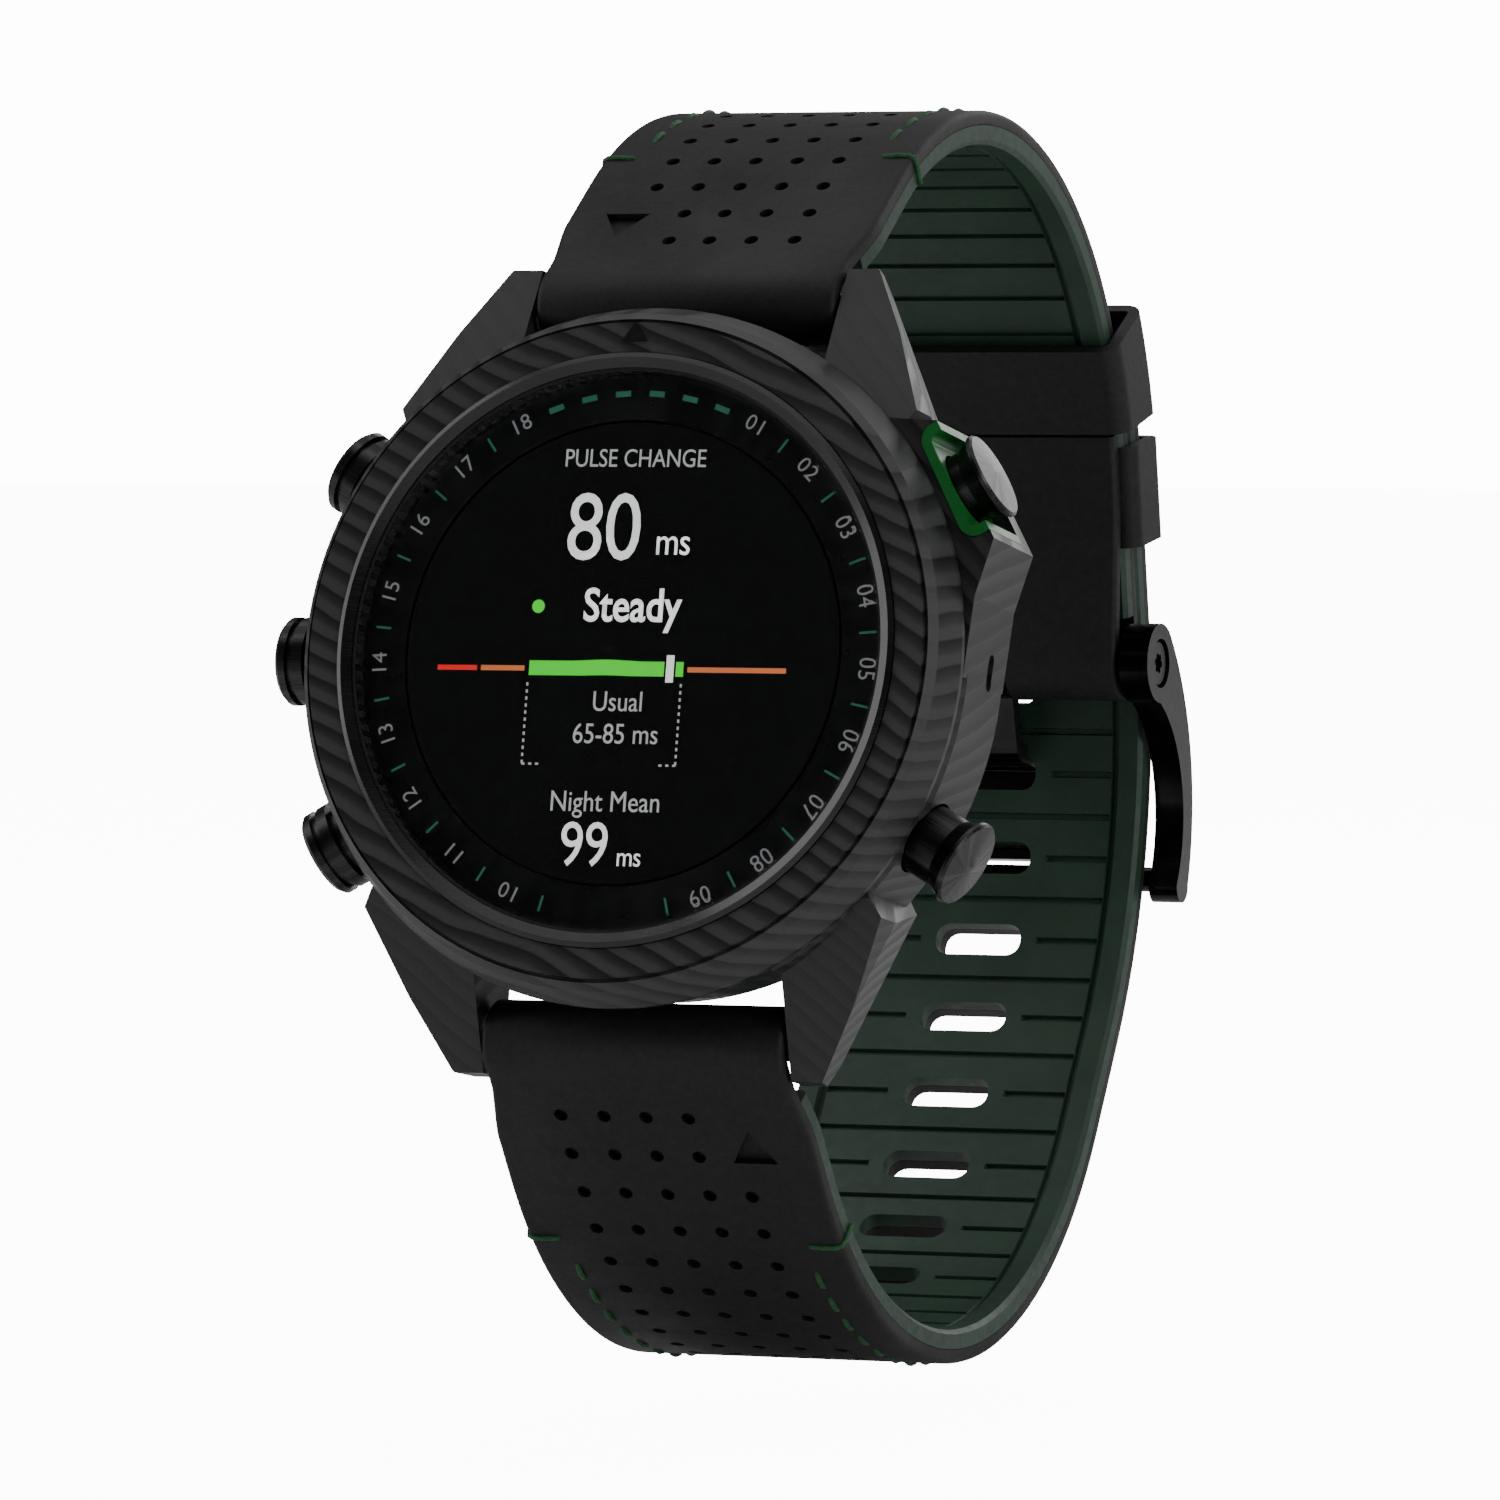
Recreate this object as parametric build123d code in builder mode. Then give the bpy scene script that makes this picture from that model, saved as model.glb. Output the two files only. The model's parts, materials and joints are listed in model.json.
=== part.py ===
from build123d import *
import os
from math import acos, asin, atan2, cos, degrees, hypot, radians, sin

os.makedirs("parts", exist_ok=True)

# Golf GPS watch on a closed two-piece strap, in millimetres.
# It is drawn in the watch's own frame: the dial centre is the origin, +Z comes out of the glass,
# +Y points to 12 o'clock and +X to 3 o'clock. At the end it is stood up round the wrist's middle.
# Side views are drawn on a plane whose x runs back from the dial and whose y runs up to 12.

# Stance
lean = 10.7                   # the dial leans back from upright, degrees
wrist_centre = (40.0, 0.0)    # middle of the wrist in the closed strap, back and up from the dial centre

# Case
bezel_radius = 23.0
bezel_flare = 23.9            # bezel radius where it meets the case
bezel_top = 0.3
bezel_inner = 20.3
bezel_groove_radius = 22.45
seam = -3.8                   # height of the joint between bezel and case
case_radius = 23.8
case_rear = -12.6
cavity_radius = 19.5
lug_gap = 22.6                # clear width between a pair of lugs
lug_reach = 27.8              # lug tip from the dial centre
lug_tip_width = 3.4
lug_root_width = 7.6
lug_notch_radius = 22.2       # round case wall between the lugs
lug_root_up = 17.2            # where a lug is widest, above the dial centre
lug_facet_depth = 3.2         # from a lug's front edge to the facet that leans under it
lug_facet_inset = 1.2
shoulder_rise = 2.4           # case shoulder round the start button, out from the case wall

# Glass and dial
crystal_radius = 19.0
crystal_base = -1.6
crystal_rise = 1.0            # dome above its own edge
crystal_sleeve = 0.25
rim_radius = 20.25
dial_ring_width = 3.1
dial_ring_thickness = 0.8
display_thickness = 1.0
fit = 0.05                    # clearance between pieces that sit in one another

# Case back
back_thickness = 1.0
back_radius = 22.2
back_base = -13.2
sensor_radius = 9.0
sensor_rise = 1.0
gasket_width = 0.8
back_screw_ring = 20.85
back_screw_radius = 0.75
contact_pitch = 2.2
contact_radius = 0.6
contact_offset = 13.0

# Inside
board_radius = 17.5
board_thickness = 0.8
board_top = -4.4
chip_height = 0.95
battery_size = (24.0, 17.0)
battery_centre = 3.0
sensor_board_radius = 15.5
sensor_board_thickness = 0.8
motor_radius = 4.0
motor_thickness = 2.6
antenna_inner = 17.6

# Buttons: clock angle from 12, and whether the cap is a wide brushed disc or a grooved barrel
button_depth = -6.8
buttons = {
    "start": (61.0, "disc"),
    "back": (119.0, "disc"),
    "down": (240.0, "barrel"),
    "up": (270.0, "barrel"),
    "light": (300.0, "barrel"),
}
button_travel = 0.6
cap_radius = 3.05
neck_radius = 2.5
neck_set = 0.5                # inner end of the cap's neck, in from the case wall
disc_stand = 3.8              # face of a disc cap, out from the case wall
barrel_stand = 3.1
disc_flare = 1.75             # face of a disc cap to the foot of its flare
disc_edge = 0.55
disc_point = 0.3              # how far the middle of a disc cap's face stands up
barrel_depth = 2.1
groove_depth = 0.8            # face of a barrel cap to its groove
groove_width = 0.5
stem_radius = 1.3
stem_end = 18.6
bush_radius = 1.9
bush_inner_end = 19.3
pocket_depth = 2.2            # pocket that the neck and spring sit in, in from the case wall
guard_thickness = 0.7
guard_width = 8.6
guard_room = 1.9              # back of the guarded recess, in from the shoulder's face
guard_drop = 6.0              # depth of the recess, front to back of the watch
guard_corner = 1.2
guard_lip = 0.1               # guard's front edge above the shoulder

# Strap bars
bar_radius = 0.9
bar_back = 10.5               # bar behind the dial
bar_up = 25.4                 # bar above and below the dial centre

# Strap layers and the round shapes that the closed strap follows, as (back, up) and radius
leather = 1.0
lining = 1.4
strap_width = 23.2
strap_width_at_lugs = 22.0
bar_wrap = 1.85               # seam between leather and lining round a bar
bar_wrap_turn = 120           # how far the leather goes round a bar, degrees
crown_centre = (37.5, 14.6)
crown_radius = 28.6
foot_centre = (38.3, -11.5)
foot_radius = 31.3
heel_centre = (33.4, -1.0)
heel_radius = 40.0
bolt_centre = (67.5, 10.2)
bolt_radius = 1.75
bolt_wrap_clearance = 0.05
layer_gap = 0.1               # air between the two straps where they lie together
top_flex = 98.9               # where the upper strap folds, degrees round the crown
foot_flex = 265.8             # where the lower strap folds, degrees round the foot
flex_gap = 0.3
fold_tip = 25.1               # end of the turned-back leather, degrees round the crown
tail_tip = 32.5               # end of the long strap, degrees round the crown
lining_start = 3.2            # from the bar to the first of the lining, along the strap

# Adjustment slots in the long strap
slot_length = 6.6
slot_height = 2.4
slot_pitch = 6.45
slots_below_tang = 8
slots_above_tang = 2

# Keepers
keeper_wall = 0.9
keeper_play = 0.2
keeper_recess = 0.5           # lining left over the fixed keeper's inner wall
fixed_keeper_inner_wall = 0.6
fixed_keeper_low = 5.8        # below the end of the crown's round
fixed_keeper_high = 1.6
free_keeper_start = 25.6      # degrees round the crown
free_keeper_end = 39.8

# Buckle
arm_clearance = 0.4           # beside the strap
arm_thickness = 2.2
eye_wall = 1.15
bail_centre = (75.4, -4.6)
bail_radius = 0.9
tang_width = 5.4
tang_thickness = 1.2
tang_ring_wall = 0.95
tang_slot_up = 3.9
screw_head_clearance = 0.2    # round the screw head, in its eye
screw_thread_radius = 0.8

# Quick-release hooks
hook_half_width = 8.0
hook_bore_clearance = 0.05
open_bore_clearance = 0.35    # room at the lower bar for the loop to flex
latch_half_width = 5.0

side = Plane(origin=(0, 0, 0), x_dir=(0, 0, -1), z_dir=(1, 0, 0))


# Outline steps of the case, its guard and its rings
lug_tip_side = 1.2
lug_tip_length = 1.4
shoulder_ease = 0.2
shoulder_fall = 1.2
shoulder_lip = 0.4
shoulder_foot_up = 4.5
neck_relief = 0.15
press_ease = 0.01
bezel_edge = 0.35
bezel_groove_half = 0.15
bezel_groove_depth = 0.6
bezel_web_radius = 18.0
vent_seat = 1.0
vent_back = 8.5
vent_length = 2.4
vent_width = 0.8
vent_depth = 0.8

# Back screws and charging contacts
back_screw_count = 6
back_screw_turn = 15
back_screw_length = 4.2
back_screw_relief = 0.2
back_screw_socket = 0.42
back_screw_socket_depth = 0.5
contact_count = 4

# Parts under the dial
reflector_cell_ring = 9.5
reflector_cells = 6
reflector_cell_radius = 3.2
reflector_cell_depth = 1.1
processor_place, processor_size = (-5, 5), (8, 8)
memory_place, memory_size = (6, 6), (6, 5)
receiver_place, receiver_size = (5, -2.5), (7, 4)
regulator_place, regulator_size = (-6, -3), (4, 3)
lever_distance = 16.3
lever_width = 3.4
lever_thickness = 1.5
lever_ease = 0.05
spring_turns = 3
spring_clearance = 0.15
spring_stack = 0.5


def dome(edge_radius, edge_height, rise):
    """Draw half of a dome's outline, from its edge to its crest on the axis."""
    ball = (edge_radius**2 + rise**2) / (2 * rise)
    sweep = degrees(asin(edge_radius / ball))
    return CenterArc((0, edge_height + rise - ball), ball, 90 - sweep, sweep)


def polar(centre, radius, angle):
    """Point at a radius and an angle round a centre."""
    return (centre[0] + radius * cos(radians(angle)), centre[1] + radius * sin(radians(angle)))


def run_angle(start_round, end_round):
    """Angle of the outward normal on the straight run between two rounds of a strap."""
    (start_centre, start_radius), (end_centre, end_radius) = start_round, end_round
    across = end_centre[0] - start_centre[0]
    along = end_centre[1] - start_centre[1]
    distance = (across**2 + along**2) ** 0.5
    return degrees(atan2(along, across)) - degrees(acos((start_radius - end_radius) / distance))


def draw_edge(stages, shift):
    """Draw one edge of a strap layer, moved outwards by shift, and return its two ends."""
    ends = []
    for centre, radius, start, end in stages:
        reach = radius + shift
        if ends:
            Line(ends[-1], polar(centre, reach, start))
        if start != end:
            turn = start if reach > 0 else start + 180
            CenterArc(centre, abs(reach), turn, end - start)
        ends += [polar(centre, reach, start), polar(centre, reach, end)]
    return ends[0], ends[-1]


def strap_profile(stages, near, far):
    """Side view of a strap layer between two offsets from the seam, positive outwards."""
    with BuildSketch(side) as profile:
        with BuildLine():
            near_start, near_end = draw_edge(stages, near)
            far_start, far_end = draw_edge(stages, far)
            Line(near_start, far_start)
            Line(near_end, far_end)
        make_face()
    return profile.sketch


def strap_plane(centre, radius, angle):
    """Plane on a strap, facing outwards, with its x across the strap and its y along it."""
    back, up = polar(centre, radius, angle)
    facing = (0, sin(radians(angle)), -cos(radians(angle)))
    return Plane(origin=(0, up, -back), x_dir=(-1, 0, 0), z_dir=facing)


def button_plane(clock_angle, reach):
    """Plane across a button's axis, facing out of the case."""
    turn = radians(clock_angle)
    direction = (sin(turn), cos(turn), 0)
    origin = (reach * direction[0], reach * direction[1], button_depth)
    return Plane(origin=origin, x_dir=(0, 0, 1), z_dir=direction)


def button_section(clock_angle):
    """Plane through a button's axis, with x out of the dial and y along the way out of the case."""
    turn = radians(clock_angle)
    return Plane(origin=(0, 0, button_depth), x_dir=(0, 0, 1), z_dir=(-cos(turn), sin(turn), 0))


# --------------------------------------------------------------------------------- case body
shoulder_radius = case_radius + shoulder_rise
guard_back = shoulder_radius - guard_room
neck_foot = case_radius - neck_set
pocket_floor = case_radius - pocket_depth
dial_ring_inner = crystal_radius - dial_ring_width
button_angles = [angle for angle, style in buttons.values()]
start_angle = buttons["start"][0]
lug_half_gap = lug_gap / 2
lug_tip_outer = lug_half_gap + lug_tip_width
lug_root_outer = lug_half_gap + lug_root_width

lug_edge_run = (lug_tip_outer - lug_root_outer, lug_reach - 1.4 - lug_root_up, 0)
lug_edge = Plane(
    origin=(lug_root_outer, lug_root_up, seam),
    x_dir=(lug_edge_run[1], -lug_edge_run[0], 0),
    z_dir=lug_edge_run,
)


def round_case(clock_angle, reach, across):
    """Point in plan at a reach from the dial axis and a distance to one side of a clock angle."""
    turn = radians(clock_angle)
    return (reach * sin(turn) + across * cos(turn), reach * cos(turn) - across * sin(turn))


with BuildPart() as lugs:
    with BuildSketch(Plane.XY.offset(seam)):
        with BuildLine():
            Polyline(
                (lug_half_gap, 14),
                (lug_half_gap, lug_reach),
                (lug_tip_outer - lug_tip_side, lug_reach),
                (lug_tip_outer, lug_reach - lug_tip_length),
                (lug_root_outer, lug_root_up),
                (lug_root_outer - 4, 10),
                close=True,
            )
        make_face()
    extrude(amount=case_rear - seam)
    with BuildSketch(side):
        with BuildLine():
            Polyline(
                (-seam, 8),
                (-seam, 16.0),
                (9.2, lug_reach),
                (-case_rear - 1.0, lug_reach),
                (-case_rear, lug_reach - 1.6),
                (-case_rear, 8),
                close=True,
            )
        make_face()
    extrude(amount=30, mode=Mode.INTERSECT)
    # The outer side leans inwards below a narrow upright band
    with BuildSketch(lug_edge):
        with BuildLine():
            Polyline(
                (0, lug_facet_depth),
                (-lug_facet_inset, seam - case_rear),
                (-lug_facet_inset, seam - case_rear + 1),
                (lug_tip_width, seam - case_rear + 1),
                (lug_tip_width, lug_facet_depth),
                close=True,
            )
        make_face()
    extrude(amount=20, both=True, mode=Mode.SUBTRACT)
    mirror(about=Plane.YZ)
    mirror(about=Plane.XZ)

shoulder_top = seam
shoulder_half_width = guard_width / 2 + 0.6
with BuildSketch() as shoulder_outline:
    with BuildLine():
        Polyline(
            (cavity_radius / 2, -1.0),
            (case_radius - 0.05, -1.0),
            (case_radius + shoulder_lip, shoulder_foot_up),
            round_case(start_angle, shoulder_radius, shoulder_half_width),
            round_case(start_angle, shoulder_radius, guard_width / 2),
            round_case(start_angle, shoulder_radius - shoulder_ease, -guard_width / 2),
            round_case(start_angle, shoulder_radius - shoulder_fall, -shoulder_half_width),
            (cavity_radius / 2, lug_root_up - 0.2),
            close=True,
        )
    make_face()

with BuildPart() as case_body:
    with BuildSketch(Plane.XZ):
        with BuildLine():
            Polyline(
                (10, seam),
                (case_radius - 0.3, seam),
                (case_radius, seam - 0.8),
                (case_radius, case_rear + 1.6),
                (case_radius - 0.9, case_rear),
                (10, case_rear),
                close=True,
            )
        make_face()
    revolve(axis=Axis.Z)
    # The wall is cut back to a smaller round between each pair of lugs, to clear the strap roll
    with BuildSketch(Plane.XY.offset(seam)):
        with Locations((0, 26), (0, -26)):
            Rectangle(lug_gap, 24)
        Circle(lug_notch_radius, mode=Mode.SUBTRACT)
    extrude(amount=case_rear - seam, mode=Mode.SUBTRACT)
    add(lugs.part)
    # Shoulder that shields the start button, from the upper lug down to 3 o'clock
    with BuildSketch(Plane.XY.offset(shoulder_top)):
        add(shoulder_outline.sketch)
    extrude(amount=-guard_drop - 1.5)
    # Cavity, seat of the back plate, and the pockets and bores of the buttons
    with BuildSketch(Plane.XY.offset(seam)):
        Circle(cavity_radius)
    extrude(amount=case_rear - seam, mode=Mode.SUBTRACT)
    with BuildSketch(Plane.XY.offset(back_base)):
        Circle(back_radius + fit)
    extrude(amount=back_thickness, mode=Mode.SUBTRACT)
    with BuildSketch(*[button_plane(angle, pocket_floor) for angle in button_angles]):
        Circle(neck_radius + neck_relief)
    extrude(amount=6, mode=Mode.SUBTRACT)
    with BuildSketch(*[button_plane(angle, bush_inner_end - 1) for angle in button_angles]):
        Circle(bush_radius)
    extrude(amount=pocket_floor - bush_inner_end + 1.2, mode=Mode.SUBTRACT)
    # Recess of the guard insert, open to the front and outwards
    with BuildSketch(Plane.XY.offset(shoulder_top)):
        with Locations(Location((0, 0, 0), (0, 0, 90 - start_angle))):
            with Locations((guard_back + guard_width / 2, 0)):
                RectangleRounded(guard_width, guard_width, guard_corner + fit)
    extrude(amount=-guard_drop, mode=Mode.SUBTRACT)
    # Pocket of the pressure vent at 3 o'clock
    with BuildSketch(Plane.YZ.offset(case_radius - vent_seat)):
        with Locations((0, -vent_back)):
            SlotOverall(vent_length + 2 * fit, vent_width + 2 * fit)
    extrude(amount=3, mode=Mode.SUBTRACT)
    # Holes of the strap bars and of the back screws
    with BuildSketch(Plane.YZ):
        with Locations((bar_up, -bar_back), (-bar_up, -bar_back)):
            Circle(bar_radius + press_ease)
    extrude(amount=lug_half_gap + 2.0, both=True, mode=Mode.SUBTRACT)
    with BuildSketch(Plane.XY.offset(back_base)):
        with PolarLocations(back_screw_ring, back_screw_count, start_angle=back_screw_turn):
            Circle(back_screw_radius)
    extrude(amount=back_screw_length + back_screw_relief, mode=Mode.SUBTRACT)
case_body.part.label = "case_body"

# ------------------------------------------------------------------------------- front parts
crystal_seat = crystal_base - dial_ring_thickness
with BuildPart() as bezel:
    with BuildSketch(Plane.XZ):
        with BuildLine():
            Polyline(
                (bezel_web_radius, seam),
                (bezel_flare - bezel_edge, seam),
                (bezel_flare, seam + bezel_edge),
                (bezel_flare, seam + 0.8),
                (bezel_radius + 0.1, bezel_top - 1.0),
                (bezel_radius - 0.5, bezel_top - 0.25),
                (bezel_groove_radius + bezel_groove_half, bezel_top - 0.2),
                (bezel_groove_radius + 0.1, bezel_top - bezel_groove_depth),
                (bezel_groove_radius - 0.1, bezel_top - bezel_groove_depth),
                (bezel_groove_radius - bezel_groove_half, bezel_top),
                (bezel_inner, bezel_top - 0.15),
                (bezel_inner, crystal_seat),
                (bezel_web_radius, crystal_seat),
                close=True,
            )
        make_face()
    revolve(axis=Axis.Z)
bezel.part.label = "bezel"

with BuildPart() as crystal_rim:
    with BuildSketch(Plane.XZ):
        with BuildLine():
            Polyline(
                (crystal_radius + crystal_sleeve, crystal_seat),
                (rim_radius, crystal_seat),
                (rim_radius, 0.25),
                (rim_radius - 0.35, 0.45),
                (crystal_radius + crystal_sleeve, 0.1),
                close=True,
            )
        make_face()
    revolve(axis=Axis.Z)
crystal_rim.part.label = "crystal_rim"

with BuildPart() as crystal:
    with BuildSketch(Plane.XZ):
        with BuildLine():
            Line((0, crystal_base), (crystal_radius, crystal_base))
            Line((crystal_radius, crystal_base), (crystal_radius, -0.05))
            Line((crystal_radius, -0.05), (crystal_radius - 0.3, 0.15))
            dome(crystal_radius - 0.3, 0.15, crystal_rise - 0.15)
            Line((0, crystal_rise), (0, crystal_base))
        make_face()
    revolve(axis=Axis.Z)
crystal.part.label = "crystal"

with BuildPart() as crystal_gasket:
    with BuildSketch(Plane.XY.offset(crystal_base)):
        Circle(crystal_radius + crystal_sleeve)
        Circle(crystal_radius, mode=Mode.SUBTRACT)
    extrude(amount=-crystal_base - 0.1)
crystal_gasket.part.label = "crystal_gasket"

with BuildPart() as dial_ring:
    with BuildSketch(Plane.XY.offset(crystal_seat)):
        Circle(crystal_radius)
        Circle(dial_ring_inner, mode=Mode.SUBTRACT)
    extrude(amount=dial_ring_thickness)
dial_ring.part.label = "dial_ring"

display_top = crystal_base - fit
with BuildPart() as display_panel:
    with BuildSketch(Plane.XY.offset(display_top)):
        Circle(dial_ring_inner - 0.2)
    extrude(amount=-display_thickness)
display_panel.part.label = "display_panel"

frame_top = display_top - display_thickness
with BuildPart() as inner_frame:
    with BuildSketch(Plane.XY.offset(board_top)):
        Circle(17.8)
    extrude(amount=frame_top - board_top)
    with BuildSketch(Plane.XY.offset(frame_top)):
        with PolarLocations(reflector_cell_ring, reflector_cells):
            Circle(reflector_cell_radius)
    extrude(amount=-reflector_cell_depth, mode=Mode.SUBTRACT)
inner_frame.part.label = "inner_frame"

# ------------------------------------------------------------------------------------ inside
with BuildPart() as main_board:
    with BuildSketch(Plane.XY.offset(board_top)):
        Circle(board_radius)
        with PolarLocations(16.2, 4, start_angle=45):
            Circle(0.8, mode=Mode.SUBTRACT)
    extrude(amount=-board_thickness)
main_board.part.label = "main_board"

board_rear = board_top - board_thickness
with BuildPart() as board_chips:
    with BuildSketch(Plane.XY.offset(board_rear)):
        with Locations(processor_place):
            Rectangle(*processor_size)
        with Locations(memory_place):
            Rectangle(*memory_size)
        with Locations(receiver_place):
            Rectangle(*receiver_size)
        with Locations(regulator_place):
            Rectangle(*regulator_size)
    extrude(amount=-chip_height)
board_chips.part.label = "board_chips"

sensor_board_top = back_base + back_thickness + 0.2 + sensor_board_thickness
battery_top = board_rear - chip_height - fit
with BuildPart() as battery:
    with BuildSketch(Plane.XY.offset(sensor_board_top + fit)):
        with Locations((0, battery_centre)):
            RectangleRounded(*battery_size, 1.5)
    extrude(amount=battery_top - sensor_board_top - fit)
battery.part.label = "battery"

with BuildPart() as vibration_motor:
    with BuildSketch(Plane.XY.offset(sensor_board_top)):
        with Locations((0, battery_centre - battery_size[1] / 2 - motor_radius - 0.5)):
            Circle(motor_radius)
    extrude(amount=motor_thickness)
vibration_motor.part.label = "vibration_motor"

with BuildPart() as antenna_ring:
    with BuildSketch(Plane.XY.offset(back_base + back_thickness + gasket_width / 2 + fit)):
        Circle(cavity_radius - fit)
        Circle(antenna_inner, mode=Mode.SUBTRACT)
        with Locations((-antenna_inner, 0)):
            Rectangle(8, 2, mode=Mode.SUBTRACT)
    extrude(amount=1.4)
antenna_ring.part.label = "antenna_ring"

# ------------------------------------------------------------------------------------- back
with BuildPart() as case_back:
    with BuildSketch(Plane.XY.offset(back_base)):
        Circle(back_radius)
        Circle(sensor_radius + fit, mode=Mode.SUBTRACT)
        with PolarLocations(back_screw_ring, back_screw_count, start_angle=back_screw_turn):
            Circle(back_screw_radius + fit, mode=Mode.SUBTRACT)
        with Locations((0, contact_offset)):
            with GridLocations(contact_pitch, 1, contact_count, 1):
                Circle(contact_radius, mode=Mode.SUBTRACT)
    extrude(amount=back_thickness)
case_back.part.label = "case_back"

gasket_ring_radius = cavity_radius - gasket_width / 2 - 0.1
with BuildPart() as case_back_gasket:
    with BuildSketch(Plane.XZ):
        with Locations((gasket_ring_radius, back_base + back_thickness + gasket_width / 4)):
            RectangleRounded(gasket_width, gasket_width / 2, gasket_width / 5)
    revolve(axis=Axis.Z)
case_back_gasket.part.label = "case_back_gasket"

with BuildPart() as case_back_screws:
    with BuildSketch(Plane.XY.offset(back_base)):
        with PolarLocations(back_screw_ring, back_screw_count, start_angle=back_screw_turn):
            Circle(back_screw_radius - press_ease)
    extrude(amount=back_screw_length)
    with BuildSketch(Plane.XY.offset(back_base)):
        with PolarLocations(back_screw_ring, back_screw_count, start_angle=back_screw_turn):
            RegularPolygon(back_screw_socket, 6)
    extrude(amount=back_screw_socket_depth, mode=Mode.SUBTRACT)
case_back_screws.part.label = "case_back_screws"

with BuildPart() as sensor_window:
    with BuildSketch(Plane((0, 0, back_base + back_thickness), x_dir=(1, 0, 0), z_dir=(0, 1, 0))):
        with BuildLine():
            Line((0, 0), (sensor_radius, 0))
            Line((sensor_radius, 0), (sensor_radius, back_thickness))
            dome(sensor_radius, back_thickness, sensor_rise)
            Line((0, back_thickness + sensor_rise), (0, 0))
        make_face()
    revolve(axis=Axis.Z)
sensor_window.part.label = "sensor_window"

with BuildPart() as sensor_board:
    with BuildSketch(Plane.XY.offset(sensor_board_top)):
        Circle(sensor_board_radius)
    extrude(amount=-sensor_board_thickness)
sensor_board.part.label = "sensor_board"

with BuildPart() as charge_contacts:
    with BuildSketch(Plane.XY.offset(back_base)):
        with Locations((0, contact_offset)):
            with GridLocations(contact_pitch, 1, contact_count, 1):
                Circle(contact_radius - press_ease)
    extrude(amount=back_thickness + 0.2)
charge_contacts.part.label = "charge_contacts"

# ------------------------------------------------------------------------------ case details
with BuildPart() as button_guard:
    with BuildSketch(Plane.XY.offset(shoulder_top + guard_lip)):
        with Locations(Location((0, 0, 0), (0, 0, 90 - start_angle))):
            with Locations((guard_back + fit + guard_width / 2, 0)):
                RectangleRounded(guard_width, guard_width - 2 * fit, guard_corner)
            with Locations((guard_back + fit + guard_thickness + guard_width / 2, 0)):
                inner_width = guard_width - 2 * fit - 2 * guard_thickness
                RectangleRounded(guard_width, inner_width, guard_corner / 2, mode=Mode.SUBTRACT)
        add(shoulder_outline.sketch, mode=Mode.INTERSECT)
    extrude(amount=-guard_drop - guard_lip)
    with BuildSketch(button_plane(start_angle, guard_back - 1)):
        Circle(neck_radius + neck_relief)
    extrude(amount=3, mode=Mode.SUBTRACT)
button_guard.part.label = "button_guard"

with BuildPart() as pressure_vent:
    with BuildSketch(Plane.YZ.offset(case_radius - vent_seat)):
        with Locations((0, -vent_back)):
            SlotOverall(vent_length, vent_width)
    extrude(amount=vent_depth)
pressure_vent.part.label = "pressure_vent"

with BuildPart() as lug_bars:
    with BuildSketch(Plane.YZ):
        with Locations((bar_up, -bar_back), (-bar_up, -bar_back)):
            Circle(bar_radius)
    extrude(amount=lug_half_gap + 1.9, both=True)
lug_bars.part.label = "lug_bars"

with BuildPart() as button_switches:
    with BuildSketch(*[button_plane(angle, lever_distance) for angle in button_angles]):
        Rectangle(2 * (board_rear - button_depth) - lever_ease, lever_width)
    extrude(amount=lever_thickness)
button_switches.part.label = "button_switches"

with BuildPart() as button_bushes:
    with BuildSketch(*[button_plane(angle, bush_inner_end) for angle in button_angles]):
        Circle(bush_radius - press_ease)
        Circle(stem_radius + fit, mode=Mode.SUBTRACT)
    extrude(amount=pocket_floor - bush_inner_end)
button_bushes.part.label = "button_bushes"

spring_room = neck_foot - pocket_floor
with BuildPart() as button_springs:
    for angle in button_angles:
        for turn in range(spring_turns):
            with BuildSketch(button_plane(angle, pocket_floor + spring_clearance + turn * (spring_room - spring_stack) / (spring_turns - 1))):
                Circle(neck_radius - 0.2)
                Circle(stem_radius + 0.4, mode=Mode.SUBTRACT)
            extrude(amount=0.2)
button_springs.part.label = "button_springs"

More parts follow.
